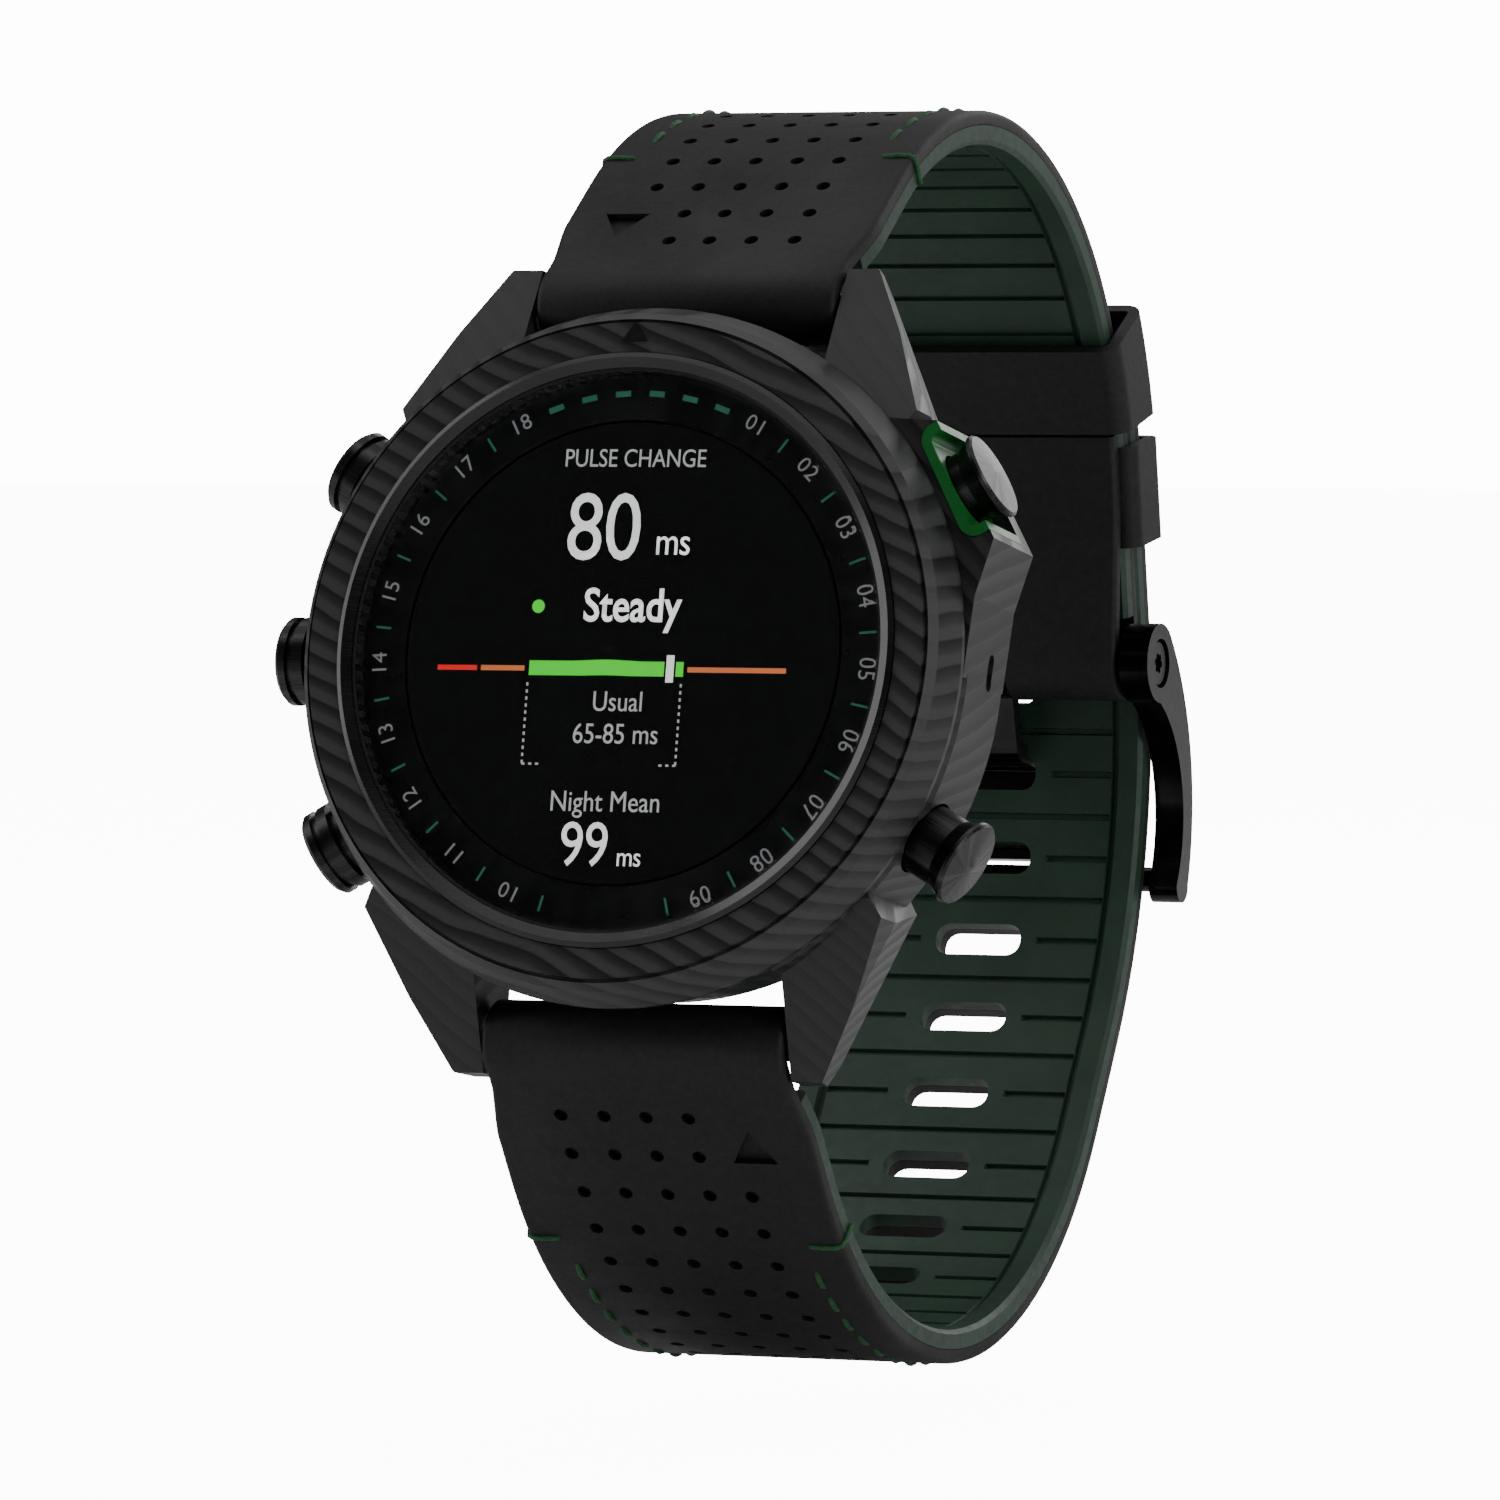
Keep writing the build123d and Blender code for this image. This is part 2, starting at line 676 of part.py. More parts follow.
# ----------------------------------------------------------------------------------- buttons
button_pieces = []
for name, (angle, style) in buttons.items():
    face = case_radius + (disc_stand if style == "disc" else barrel_stand)
    with BuildPart() as cap:
        with BuildSketch(button_section(angle)):
            with BuildLine():
                if style == "disc":
                    # A neck that flares to a wide thin disc with a slightly pointed face
                    Polyline(
                        (0, stem_end),
                        (stem_radius, stem_end),
                        (stem_radius, neck_foot),
                        (neck_radius, neck_foot),
                        (neck_radius, face - disc_flare),
                        (cap_radius - 0.15, face - disc_point - disc_edge),
                        (cap_radius, face - disc_point - disc_edge + 0.15),
                        (cap_radius, face - disc_point - 0.15),
                        (cap_radius - 0.15, face - disc_point),
                        (0, face),
                        close=True,
                    )
                else:
                    # A barrel with one groove round it
                    Polyline(
                        (0, stem_end),
                        (stem_radius, stem_end),
                        (stem_radius, neck_foot),
                        (neck_radius, neck_foot),
                        (neck_radius, face - barrel_depth),
                        (cap_radius, face - barrel_depth),
                        (cap_radius, face - groove_depth - groove_width),
                        (cap_radius - 0.3, face - groove_depth - groove_width),
                        (cap_radius - 0.3, face - groove_depth),
                        (cap_radius, face - groove_depth),
                        (cap_radius, face - 0.3),
                        (cap_radius - 0.3, face),
                        (0, face),
                        close=True,
                    )
            make_face()
        revolve(axis=Axis((0, 0, button_depth), button_section(angle).y_dir))
        # Grooves for the seal and the clip
        with BuildSketch(button_plane(angle, 20.2)):
            Circle(stem_radius + 0.2)
            Circle(stem_radius - 0.4, mode=Mode.SUBTRACT)
        extrude(amount=0.7, mode=Mode.SUBTRACT)
        with BuildSketch(button_plane(angle, 18.8)):
            Circle(stem_radius + 0.2)
            Circle(stem_radius - 0.3, mode=Mode.SUBTRACT)
        extrude(amount=0.4, mode=Mode.SUBTRACT)
    cap.part.label = f"{name}_button"
    with BuildPart() as seal:
        with BuildSketch(button_plane(angle, 20.25)):
            Circle(stem_radius + fit - 0.01)
            Circle(stem_radius - 0.38, mode=Mode.SUBTRACT)
        extrude(amount=0.6)
    seal.part.label = f"{name}_button_seal"
    with BuildPart() as clip:
        with BuildSketch(button_plane(angle, 18.82)):
            Circle(stem_radius + 0.7)
            Circle(stem_radius - 0.28, mode=Mode.SUBTRACT)
            with Locations((stem_radius + 0.5, 0)):
                Rectangle(2.0, 1.2, mode=Mode.SUBTRACT)
        extrude(amount=0.36)
    clip.part.label = f"{name}_button_clip"
    button_pieces += [cap, seal, clip]

# ------------------------------------------------------------------------------------- strap
upper_bar = (bar_back, bar_up)
lower_bar = (bar_back, -bar_up)
bolt_wrap = bolt_radius + bolt_wrap_clearance
tail_on_bolt = bolt_wrap + leather + 0.15 + lining
tail_on_crown = crown_radius + leather + layer_gap + lining
fold_radius = crown_radius - lining

fold_run = run_angle((crown_centre, -fold_radius), (bolt_centre, bolt_wrap))
bolt_run = run_angle((bolt_centre, bolt_wrap), (crown_centre, crown_radius))
upper_run = run_angle((crown_centre, crown_radius), (upper_bar, bar_wrap))
lower_run = run_angle((lower_bar, bar_wrap), (foot_centre, foot_radius))
heel_run = run_angle((foot_centre, foot_radius), (heel_centre, heel_radius)) + 360
tail_run = run_angle((heel_centre, heel_radius), (bolt_centre, tail_on_bolt)) + 360
tip_run = run_angle((bolt_centre, tail_on_bolt), (crown_centre, tail_on_crown)) + 360
lower_run += 360

top_half_gap = degrees(flex_gap / 2 / crown_radius)
foot_half_gap = degrees(flex_gap / 2 / foot_radius)
half_width = strap_width / 2


def beside(round_centre, run, distance):
    """A round's centre moved along the straight run that starts or ends at it."""
    return polar(round_centre, distance, run + 90)


# Each strap is a list of rounds: centre, seam radius, and the angles where its arc starts and ends.
# A negative radius curves the other way. The short strap is listed from its turned-back end.
short_rear_leather_rounds = [
    (crown_centre, -fold_radius, fold_tip - 180, fold_run),
    (bolt_centre, bolt_wrap, fold_run, bolt_run),
    (crown_centre, crown_radius, bolt_run, top_flex - top_half_gap),
]
short_rear_lining_rounds = [
    (beside(bolt_centre, bolt_run, lining_start), bolt_wrap, bolt_run, bolt_run),
    (crown_centre, crown_radius, bolt_run, top_flex - top_half_gap),
]
short_front_leather_rounds = [
    (crown_centre, crown_radius, top_flex + top_half_gap, upper_run),
    (upper_bar, bar_wrap, upper_run, upper_run + bar_wrap_turn),
]
short_front_lining_rounds = [
    (crown_centre, crown_radius, top_flex + top_half_gap, upper_run),
    (beside(upper_bar, upper_run, -lining_start), bar_wrap, upper_run, upper_run),
]
long_front_leather_rounds = [
    (lower_bar, bar_wrap, lower_run - bar_wrap_turn, lower_run),
    (foot_centre, foot_radius, lower_run, foot_flex - foot_half_gap),
]
long_front_lining_rounds = [
    (beside(lower_bar, lower_run, lining_start), bar_wrap, lower_run, lower_run),
    (foot_centre, foot_radius, lower_run, foot_flex - foot_half_gap),
]
long_rear_rounds = [
    (foot_centre, foot_radius, foot_flex + foot_half_gap, heel_run),
    (heel_centre, heel_radius, heel_run, tail_run),
    (bolt_centre, tail_on_bolt, tail_run, tip_run),
    (crown_centre, tail_on_crown, tip_run, tail_tip + 360),
]


def round_length(stage):
    """Length of one round of a strap along its seam."""
    centre, radius, start, end = stage
    return abs(radius * radians(end - start))


def run_length(stage, next_stage):
    """Length of the straight run between two rounds."""
    leaving = polar(stage[0], stage[1], stage[3])
    arriving = polar(next_stage[0], next_stage[1], next_stage[2])
    return hypot(arriving[0] - leaving[0], arriving[1] - leaving[1])


def walk(stages, distance):
    """Plane facing outwards on a strap's seam, at a distance along it from its first round."""
    for stage, next_stage in zip(stages, stages[1:] + [None]):
        centre, radius, start, end = stage
        if distance <= round_length(stage) or next_stage is None:
            return strap_plane(centre, radius, start + degrees(distance / radius))
        distance -= round_length(stage)
        if distance <= run_length(stage, next_stage):
            return strap_plane(beside(centre, end, distance), radius, end)
        distance -= run_length(stage, next_stage)


# Distance along the long strap's rear from the flex line to the slot that the tang passes through
tang_angle = degrees(asin((tang_slot_up - heel_centre[1]) / heel_radius)) + 360
to_heel = round_length(long_rear_rounds[0]) + run_length(long_rear_rounds[0], long_rear_rounds[1])
tang_distance = to_heel + heel_radius * radians(tang_angle - heel_run)
slot_planes = []
for step in range(-slots_above_tang, slots_below_tang + 1):
    slot_planes.append(walk(long_rear_rounds, tang_distance - step * slot_pitch))

# Outline, seen from the front, that narrows a strap to fit between the lugs
with BuildSketch() as lug_outline:
    with BuildLine():
        narrow = strap_width_at_lugs / 2
        Polyline(
            (-half_width, 60),
            (-half_width, lug_reach + 3),
            (-narrow, lug_reach + 0.4),
            (-narrow, 15),
            (narrow, 15),
            (narrow, lug_reach + 0.4),
            (half_width, lug_reach + 3),
            (half_width, 60),
            close=True,
        )
    make_face()
    mirror(about=Plane.XZ)

with BuildPart() as short_strap_front_leather:
    extrude(strap_profile(short_front_leather_rounds, 0, leather), amount=half_width, both=True)
    extrude(lug_outline.sketch, amount=-60, mode=Mode.INTERSECT)
short_strap_front_leather.part.label = "short_strap_front_leather"

with BuildPart() as short_strap_front_lining:
    extrude(strap_profile(short_front_lining_rounds, -lining, 0), amount=half_width, both=True)
    extrude(lug_outline.sketch, amount=-60, mode=Mode.INTERSECT)
short_strap_front_lining.part.label = "short_strap_front_lining"

with BuildPart() as long_strap_front_leather:
    extrude(strap_profile(long_front_leather_rounds, 0, leather), amount=half_width, both=True)
    extrude(lug_outline.sketch, amount=-60, mode=Mode.INTERSECT)
long_strap_front_leather.part.label = "long_strap_front_leather"

with BuildPart() as long_strap_front_lining:
    extrude(strap_profile(long_front_lining_rounds, -lining, 0), amount=half_width, both=True)
    extrude(lug_outline.sketch, amount=-60, mode=Mode.INTERSECT)
long_strap_front_lining.part.label = "long_strap_front_lining"

# The leather is notched round the bolt for the root of the tang
with BuildPart() as short_strap_rear_leather:
    extrude(strap_profile(short_rear_leather_rounds, 0, leather), amount=half_width, both=True)
    with BuildSketch(side):
        with Locations(bolt_centre):
            Circle(bolt_wrap + leather + 0.5)
    extrude(amount=tang_width / 2 + 0.3, both=True, mode=Mode.SUBTRACT)
short_strap_rear_leather.part.label = "short_strap_rear_leather"

# The lining is thinned where the fixed keeper passes between it and the turned-back leather
keeper_plane = strap_plane(crown_centre, crown_radius, bolt_run)
keeper_length = fixed_keeper_low + fixed_keeper_high
with BuildPart() as short_strap_rear_lining:
    extrude(strap_profile(short_rear_lining_rounds, -lining, 0), amount=half_width, both=True)
    with BuildSketch(keeper_plane.offset(-lining - 1)):
        with Locations((0, (fixed_keeper_high - fixed_keeper_low) / 2)):
            Rectangle(strap_width + 2, keeper_length + 0.4)
    extrude(amount=1 + lining - keeper_recess, mode=Mode.SUBTRACT)
short_strap_rear_lining.part.label = "short_strap_rear_lining"

with BuildPart() as long_strap_rear_leather:
    extrude(strap_profile(long_rear_rounds, 0, leather), amount=half_width, both=True)
    with BuildSketch(*slot_planes):
        SlotOverall(slot_length, slot_height)
    extrude(amount=leather + 0.5, both=True, mode=Mode.SUBTRACT)
long_strap_rear_leather.part.label = "long_strap_rear_leather"

with BuildPart() as long_strap_rear_lining:
    extrude(strap_profile(long_rear_rounds, -lining, 0), amount=half_width, both=True)
    with BuildSketch(*slot_planes):
        SlotOverall(slot_length, slot_height)
    extrude(amount=lining + 0.5, both=True, mode=Mode.SUBTRACT)
long_strap_rear_lining.part.label = "long_strap_rear_lining"

# ----------------------------------------------------------------------------------- keepers
tail_top = tail_on_crown - crown_radius + leather
keeper_floor = -keeper_recess - 0.25
keeper_ceiling = tail_top + 0.15
keeper_half_width = half_width + 0.25
along_strap = Vector(0, cos(radians(bolt_run)), sin(radians(bolt_run)))
ring_plane = Plane(origin=keeper_plane.origin, x_dir=(1, 0, 0), z_dir=along_strap)
with BuildPart() as fixed_keeper:
    with BuildSketch(ring_plane.offset(-fixed_keeper_low)):
        with Locations((0, (keeper_floor + keeper_ceiling + keeper_wall - fixed_keeper_inner_wall) / 2)):
            RectangleRounded(
                2 * (keeper_half_width + keeper_wall),
                keeper_ceiling - keeper_floor + keeper_wall + fixed_keeper_inner_wall,
                1.2,
            )
        with Locations((0, (keeper_floor + keeper_ceiling) / 2)):
            RectangleRounded(2 * keeper_half_width, keeper_ceiling - keeper_floor, 0.3, mode=Mode.SUBTRACT)
    extrude(amount=keeper_length)
fixed_keeper.part.label = "fixed_keeper"

crown_axis = Axis((0, crown_centre[1], -crown_centre[0]), (1, 0, 0))
free_inner = fold_radius - keeper_play
free_outer = tail_on_crown + leather + keeper_play
crown_plane = strap_plane(crown_centre, 0, free_keeper_start)
free_plane = Plane(origin=crown_plane.origin, x_dir=(1, 0, 0), z_dir=crown_plane.y_dir)
with BuildPart() as free_keeper:
    with BuildSketch(free_plane):
        with Locations((0, (free_inner + free_outer) / 2)):
            RectangleRounded(
                2 * (keeper_half_width + keeper_wall), free_outer - free_inner + 2 * keeper_wall, 1.4
            )
            RectangleRounded(2 * keeper_half_width, free_outer - free_inner, 0.3, mode=Mode.SUBTRACT)
    revolve(axis=crown_axis, revolution_arc=free_keeper_end - free_keeper_start)
free_keeper.part.label = "free_keeper"

# ------------------------------------------------------------------------------------ buckle
arm_inner = half_width + arm_clearance
arm_outer = arm_inner + arm_thickness
eye_radius = bolt_radius + eye_wall
tang_ring_radius = bolt_radius + tang_ring_wall
screw_head_radius = bolt_radius - screw_head_clearance
with BuildPart() as buckle_bolt:
    with BuildSketch(side):
        with Locations(bolt_centre):
            Circle(bolt_radius)
            Circle(screw_thread_radius, mode=Mode.SUBTRACT)
    extrude(amount=arm_outer - 0.8, both=True)
buckle_bolt.part.label = "buckle_bolt"

with BuildPart() as buckle_screws:
    with BuildSketch(side.offset(arm_outer - 0.8 - 4.0)):
        with Locations(bolt_centre):
            Circle(screw_thread_radius - 0.01)
    extrude(amount=4.0)
    with BuildSketch(side.offset(arm_outer - 0.8)):
        with Locations(bolt_centre):
            Circle(screw_head_radius)
    extrude(amount=0.6)
    with BuildSketch(side.offset(arm_outer - 0.6)):
        with Locations(bolt_centre):
            with PolarLocations(0.5, 6):
                Circle(0.26)
            Circle(0.5)
    extrude(amount=1, mode=Mode.SUBTRACT)
    mirror(about=Plane.YZ)
buckle_screws.part.label = "buckle_screws"

bail_back, bail_up = bail_centre
bolt_back, bolt_up = bolt_centre
with BuildPart() as buckle_frame:
    with BuildSketch(side.offset(arm_inner)):
        with BuildLine():
            shoulder_point = (bolt_back + 1.6, bolt_up + 2.4)
            bail_outer = (bail_back + bail_radius, bail_up - 0.2)
            bail_inner = (bail_back - bail_radius - 0.6, bail_up - 0.6)
            ThreePointArc(shoulder_point, (bolt_back + 7.5, bolt_up - 5.2), bail_outer)
            ThreePointArc(bail_outer, (bail_back - 0.4, bail_up - 1.7), bail_inner)
            ThreePointArc(bail_inner, (bolt_back + 4.6, bolt_up - 5.6), (bolt_back - 1.6, bolt_up - 2.4))
            Line((bolt_back - 1.6, bolt_up - 2.4), shoulder_point)
        make_face()
        with Locations(bolt_centre):
            Circle(eye_radius)
            Circle(bolt_radius + fit, mode=Mode.SUBTRACT)
    extrude(amount=arm_outer - arm_inner)
    mirror(about=Plane.YZ)
    with BuildSketch(side):
        with Locations(bail_centre):
            Circle(bail_radius)
    extrude(amount=arm_inner + 0.5, both=True)
buckle_frame.part.label = "buckle_frame"

tang_rest = bail_back - 0.25
with BuildPart() as buckle_tang:
    with BuildSketch(side):
        with Locations(bolt_centre):
            Circle(tang_ring_radius)
        with BuildLine():
            FilletPolyline(
                polar(bolt_centre, bolt_wrap + 0.4, -70),
                (bolt_back + 2.7, tang_slot_up),
                (tang_rest, tang_slot_up),
                (tang_rest, bail_up + bail_radius + 0.3),
                radius=0.8,
            )
        trace(line_width=tang_thickness)
        with Locations(bolt_centre):
            Circle(bolt_radius + fit, mode=Mode.SUBTRACT)
    extrude(amount=tang_width / 2, both=True)
buckle_tang.part.label = "buckle_tang"


# --------------------------------------------------------------------- quick-release hardware
def hook_plane(bar, outward_angle, turn):
    """Side plane centred on a bar, x along the strap and y towards the wrist."""
    back, up = polar((0, 0), 1, outward_angle + 90 * turn)
    return Plane(origin=(0, bar[1], -bar[0]), x_dir=(0, up, -back), z_dir=(turn, 0, 0))


plate_low = lining - bar_wrap + fit
plate_high = plate_low + 0.9
hardware = []
for name, bar, run, turn, play in (
    ("upper", upper_bar, upper_run, -1, hook_bore_clearance),
    ("lower", lower_bar, lower_run, 1, open_bore_clearance),
):
    bore = bar_radius + play
    finger_low = bar_radius + play + 0.1
    finger_high = finger_low + 0.5
    with BuildPart() as hook:
        with BuildSketch(hook_plane(bar, run, turn)):
            Circle(bar_wrap - 0.01)
            Circle(bore, mode=Mode.SUBTRACT)
            with Locations((2 - bore, 2)):
                Rectangle(4, 4, mode=Mode.SUBTRACT)
            with Locations(((bore + 0.05 + 8.0) / 2, (plate_low + plate_high) / 2)):
                Rectangle(8.0 - bore - 0.05, plate_high - plate_low)
        extrude(amount=hook_half_width, both=True)
    hook.part.label = f"{name}_strap_hook"
    with BuildPart() as latch:
        with BuildSketch(hook_plane(bar, run, turn)):
            with Locations((0.55, (finger_low + finger_high) / 2)):
                Rectangle(1.9, finger_high - finger_low)
            with Locations((3.9, (plate_high + 0.1 + finger_high) / 2)):
                Rectangle(5.0, finger_high - plate_high - 0.1)
        extrude(amount=latch_half_width, both=True)
    latch.part.label = f"{name}_strap_latch"
    hardware += [hook, latch]

# ------------------------------------------------------------------- stand the watch and write
watch = [
    case_body, bezel, crystal_rim, crystal, crystal_gasket, dial_ring, display_panel, inner_frame,
    main_board, board_chips, battery, vibration_motor, antenna_ring, case_back, case_back_gasket,
    case_back_screws, sensor_window, sensor_board, charge_contacts, button_guard, pressure_vent,
    lug_bars, button_switches, button_bushes, button_springs, *button_pieces,
    short_strap_front_leather, short_strap_front_lining, short_strap_rear_leather,
    short_strap_rear_lining, long_strap_front_leather, long_strap_front_lining,
    long_strap_rear_leather, long_strap_rear_lining, fixed_keeper, free_keeper,
    buckle_bolt, buckle_screws, buckle_frame, buckle_tang, *hardware,
]
leaned = Plane(origin=(0, 0, 0), x_dir=(1, 0, 0), z_dir=(0, -cos(radians(lean)), sin(radians(lean)))).location
wrist = leaned * Location((0, wrist_centre[1], -wrist_centre[0]))
standing = Location(wrist.position * -1) * leaned
for piece in watch:
    piece.part.location = standing
    export_step(piece.part, f"parts/{piece.part.label}.step")
print("size", Compound([piece.part for piece in watch]).bounding_box().size, "nodes", len(watch))
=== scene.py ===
# %% [markdown]
# # A golf watch with forged-carbon case and a leather strap on ribbed rubber
# The imported model is the frame: its bodies, joints and sizes are fixed. This lesson builds the looks around it.
# The first lines load that frame and keep its box, which sets the floor's height.

# %% Load the frame
import bmesh
import bpy
import json
from math import acos, asin, atan2, cos, degrees, hypot, pi, radians, sin
from mathutils import Matrix, Vector


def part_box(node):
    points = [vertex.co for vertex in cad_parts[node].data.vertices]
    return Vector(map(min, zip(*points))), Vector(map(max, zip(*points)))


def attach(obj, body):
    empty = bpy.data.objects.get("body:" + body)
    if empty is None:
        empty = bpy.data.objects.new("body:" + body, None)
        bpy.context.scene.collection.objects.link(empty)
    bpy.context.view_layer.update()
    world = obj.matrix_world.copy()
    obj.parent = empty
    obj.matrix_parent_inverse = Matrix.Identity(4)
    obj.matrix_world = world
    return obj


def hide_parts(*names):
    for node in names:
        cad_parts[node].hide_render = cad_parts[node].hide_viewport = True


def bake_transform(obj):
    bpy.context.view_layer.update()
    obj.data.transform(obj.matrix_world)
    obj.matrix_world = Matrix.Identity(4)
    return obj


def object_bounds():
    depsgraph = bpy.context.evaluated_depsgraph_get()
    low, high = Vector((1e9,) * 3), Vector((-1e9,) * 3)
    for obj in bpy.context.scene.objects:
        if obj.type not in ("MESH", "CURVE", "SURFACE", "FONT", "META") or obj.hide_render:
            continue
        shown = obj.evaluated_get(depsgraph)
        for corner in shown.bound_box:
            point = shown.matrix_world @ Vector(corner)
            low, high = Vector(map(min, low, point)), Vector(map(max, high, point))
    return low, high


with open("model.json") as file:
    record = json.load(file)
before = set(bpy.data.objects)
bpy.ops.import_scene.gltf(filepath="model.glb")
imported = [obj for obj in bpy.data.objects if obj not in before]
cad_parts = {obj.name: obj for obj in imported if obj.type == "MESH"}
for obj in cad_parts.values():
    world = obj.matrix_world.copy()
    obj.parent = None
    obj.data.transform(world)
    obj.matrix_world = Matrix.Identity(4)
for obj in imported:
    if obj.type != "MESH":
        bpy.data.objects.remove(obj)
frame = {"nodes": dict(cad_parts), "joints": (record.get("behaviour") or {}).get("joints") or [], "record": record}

cad_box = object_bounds()
print("CAD box", [tuple(round(value, 4) for value in corner) for corner in cad_box])

# %% [markdown]
# The watch leans back a little, so flat-on drawing in the room's axes would be awkward. A real maker draws
# on the dial. The dial's place and tilt are read from the frame: the display panel is a flat disc, so the
# middle of its box lies on the dial's axis, and the back plate's mount points straight out of the back.

# %% Dial space
MM = 0.001
mounts = {mount["name"]: mount for mount in frame["record"]["mounts"]}
joints = {joint["name"]: joint for joint in frame["joints"]}
outward = -Vector(mounts["case_back_face"]["axis"]).normalized()
panel_middle = sum((Vector(corner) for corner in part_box("display_panel")), Vector()) / 2
panel_depth = 2.15
dial_middle = panel_middle + outward * panel_depth * MM
twelve = outward.cross(Vector((1, 0, 0))).normalized()
turn = Matrix((Vector((1, 0, 0)), twelve, outward)).transposed().to_4x4()
dial_space = Matrix.Translation(dial_middle) @ turn @ Matrix.Scale(MM, 4)
lean = atan2(outward.z, -outward.y)
print("dial middle", dial_middle, "lean", round(degrees(lean), 2))


def place(x, up, out=0.0):
    """Point in the frame for a point on the dial: x to 3 o'clock, up to 12, out of the glass."""
    return dial_space @ Vector((x, up, out))


# %% [markdown]
# Every piece, light and camera below is made the same way: some data, and an object that puts it in the scene.
# Two helpers do that. Drawn pieces are built corner by corner in a bmesh, which the second turns into a mesh.

# %% Putting things in the scene


def in_scene(name, data):
    """New object in the scene, made from its data."""
    made = bpy.data.objects.new(name, data)
    bpy.context.collection.objects.link(made)
    return made


def drawn_piece(name, build):
    """New object from a finished bmesh, which is then freed."""
    mesh = bpy.data.meshes.new(name)
    build.to_mesh(mesh)
    build.free()
    return in_scene(name, mesh)


# %% [markdown]
# Every finish here is made of nodes, never of pictures. A small bench of helpers keeps each recipe short:
# one makes a material with its plain values on the shader's own sockets, one adds a node and wires it.

# %% Node bench


def new_finish(name, colour, roughness, metallic=0.0, **sockets):
    """Material with a Principled shader and its plain values set."""
    material = bpy.data.materials.new(name)
    material.use_nodes = True
    shader = material.node_tree.nodes["Principled BSDF"]
    shader.inputs["Base Color"].default_value = (*colour, 1)
    shader.inputs["Roughness"].default_value = roughness
    shader.inputs["Metallic"].default_value = metallic
    for socket, value in sockets.items():
        shader.inputs[socket.replace("_", " ").title().replace("Ior", "IOR")].default_value = value
    return material, material.node_tree, shader


def add_node(tree, kind, wires=None, **settings):
    """Add a node, set its fields, and wire or fill its inputs from a dictionary."""
    made = tree.nodes.new("ShaderNode" + kind)
    for field, value in settings.items():
        setattr(made, field, value)
    for socket, value in (wires or {}).items():
        if isinstance(value, bpy.types.NodeSocket):
            tree.links.new(value, made.inputs[socket])
        else:
            made.inputs[socket].default_value = value
    return made


def sums(tree, operation, first, second):
    """One Math node's answer."""
    return add_node(tree, "Math", {0: first, 1: second}, operation=operation).outputs[0]


def ramp(tree, factor, stops):
    """Colour ramp with stops of (position, grey or colour)."""
    made = add_node(tree, "ValToRGB", {"Fac": factor})
    bar = made.color_ramp.elements
    while len(bar) < len(stops):
        bar.new(0.5)
    for element, (position, colour) in zip(bar, stops):
        element.position = position
        shade = (colour,) * 3 if isinstance(colour, float) else colour
        element.color = (*shade, 1)
    return made.outputs["Color"]


def dial_coordinates(tree):
    """Millimetres in dial space, taken from each piece's own coordinates, so a finish moves with its piece."""
    local = add_node(tree, "TexCoord").outputs["Object"]
    shifted = add_node(tree, "VectorMath", {0: local, 1: dial_middle}, operation="SUBTRACT").outputs[0]
    upright = add_node(
        tree, "VectorRotate", {"Vector": shifted, "Angle": lean - pi / 2}, rotation_type="X_AXIS"
    ).outputs[0]
    return add_node(tree, "VectorMath", {0: upright, "Scale": 1 / MM}, operation="SCALE").outputs[0]


def bump(tree, shader, height, strength, distance):
    """Relief from a height in 0 to 1, over a distance in metres."""
    made = add_node(tree, "Bump", {"Height": height, "Strength": strength, "Distance": distance})
    tree.links.new(made.outputs["Normal"], shader.inputs["Normal"])
    return made


def noise(tree, vector, scale, detail=3.0, rough=0.55):
    """Noise value for a coordinate in millimetres."""
    wires = {"Vector": vector, "Scale": scale, "Detail": detail, "Roughness": rough}
    return add_node(tree, "TexNoise", wires).outputs["Fac"]


def dress(node, material):
    """Give a node of the frame its finish."""
    slots = frame["nodes"][node].data.materials
    slots.clear()
    slots.append(material)


# %% [markdown]
# A small round thing is best shown through a long lens from some way off, which keeps its circles round. The
# camera stands a little to the right of the dial. Both its place and the point that it looks at are given in
# millimetres from the dial's middle, so they stay right if the frame is moved.

# %% Camera
camera_offset = Vector((271.4, -637.0, 17.9))
aim_offset = Vector((10.4, -1.24, -6.58))
camera = in_scene("camera", bpy.data.cameras.new("camera"))
camera.location = dial_middle + camera_offset * MM
camera.rotation_euler = ((aim_offset - camera_offset) * MM).to_track_quat("-Z", "Y").to_euler()
camera.data.lens = 247.6
camera.data.sensor_width = 36.0
bpy.context.scene.camera = camera
print("camera is", round(camera_offset.length), "mm from the dial")

# %% [markdown]
# The floor is a plain white sheet. A dark product on white is often shot on a sheet that is lit by itself, so
# that the sheet goes white while the product stays dark. Here the floor glows only for the camera's own rays,
# so the glow throws no light on the watch. It lies a little below the strap, which flexes open past its rest.

# %% Floor
flex_room = 4 * MM
floor_reach = 6
floor_brightness = 12.0
ground = cad_box[0][2] - flex_room
floor_mesh = bpy.data.meshes.new("floor")
floor_corners = [(x * floor_reach, y * floor_reach, ground) for x, y in ((-1, -1), (1, -1), (1, 1), (-1, 1))]
floor_mesh.from_pydata(floor_corners, [], [(0, 1, 2, 3)])
in_scene("floor", floor_mesh)
paper, paper_tree, paper_shader = new_finish("paper", (0.93, 0.93, 0.93), 0.9)
paper_shader.inputs["Emission Color"].default_value = (1, 1, 1, 1)
camera_ray = add_node(paper_tree, "LightPath").outputs["Is Camera Ray"]
paper_glow = sums(paper_tree, "MULTIPLY", camera_ray, floor_brightness)
paper_tree.links.new(paper_glow, paper_shader.inputs["Emission Strength"])
floor_mesh.materials.append(paper)
print("floor at", round(ground / MM, 1), "mm")

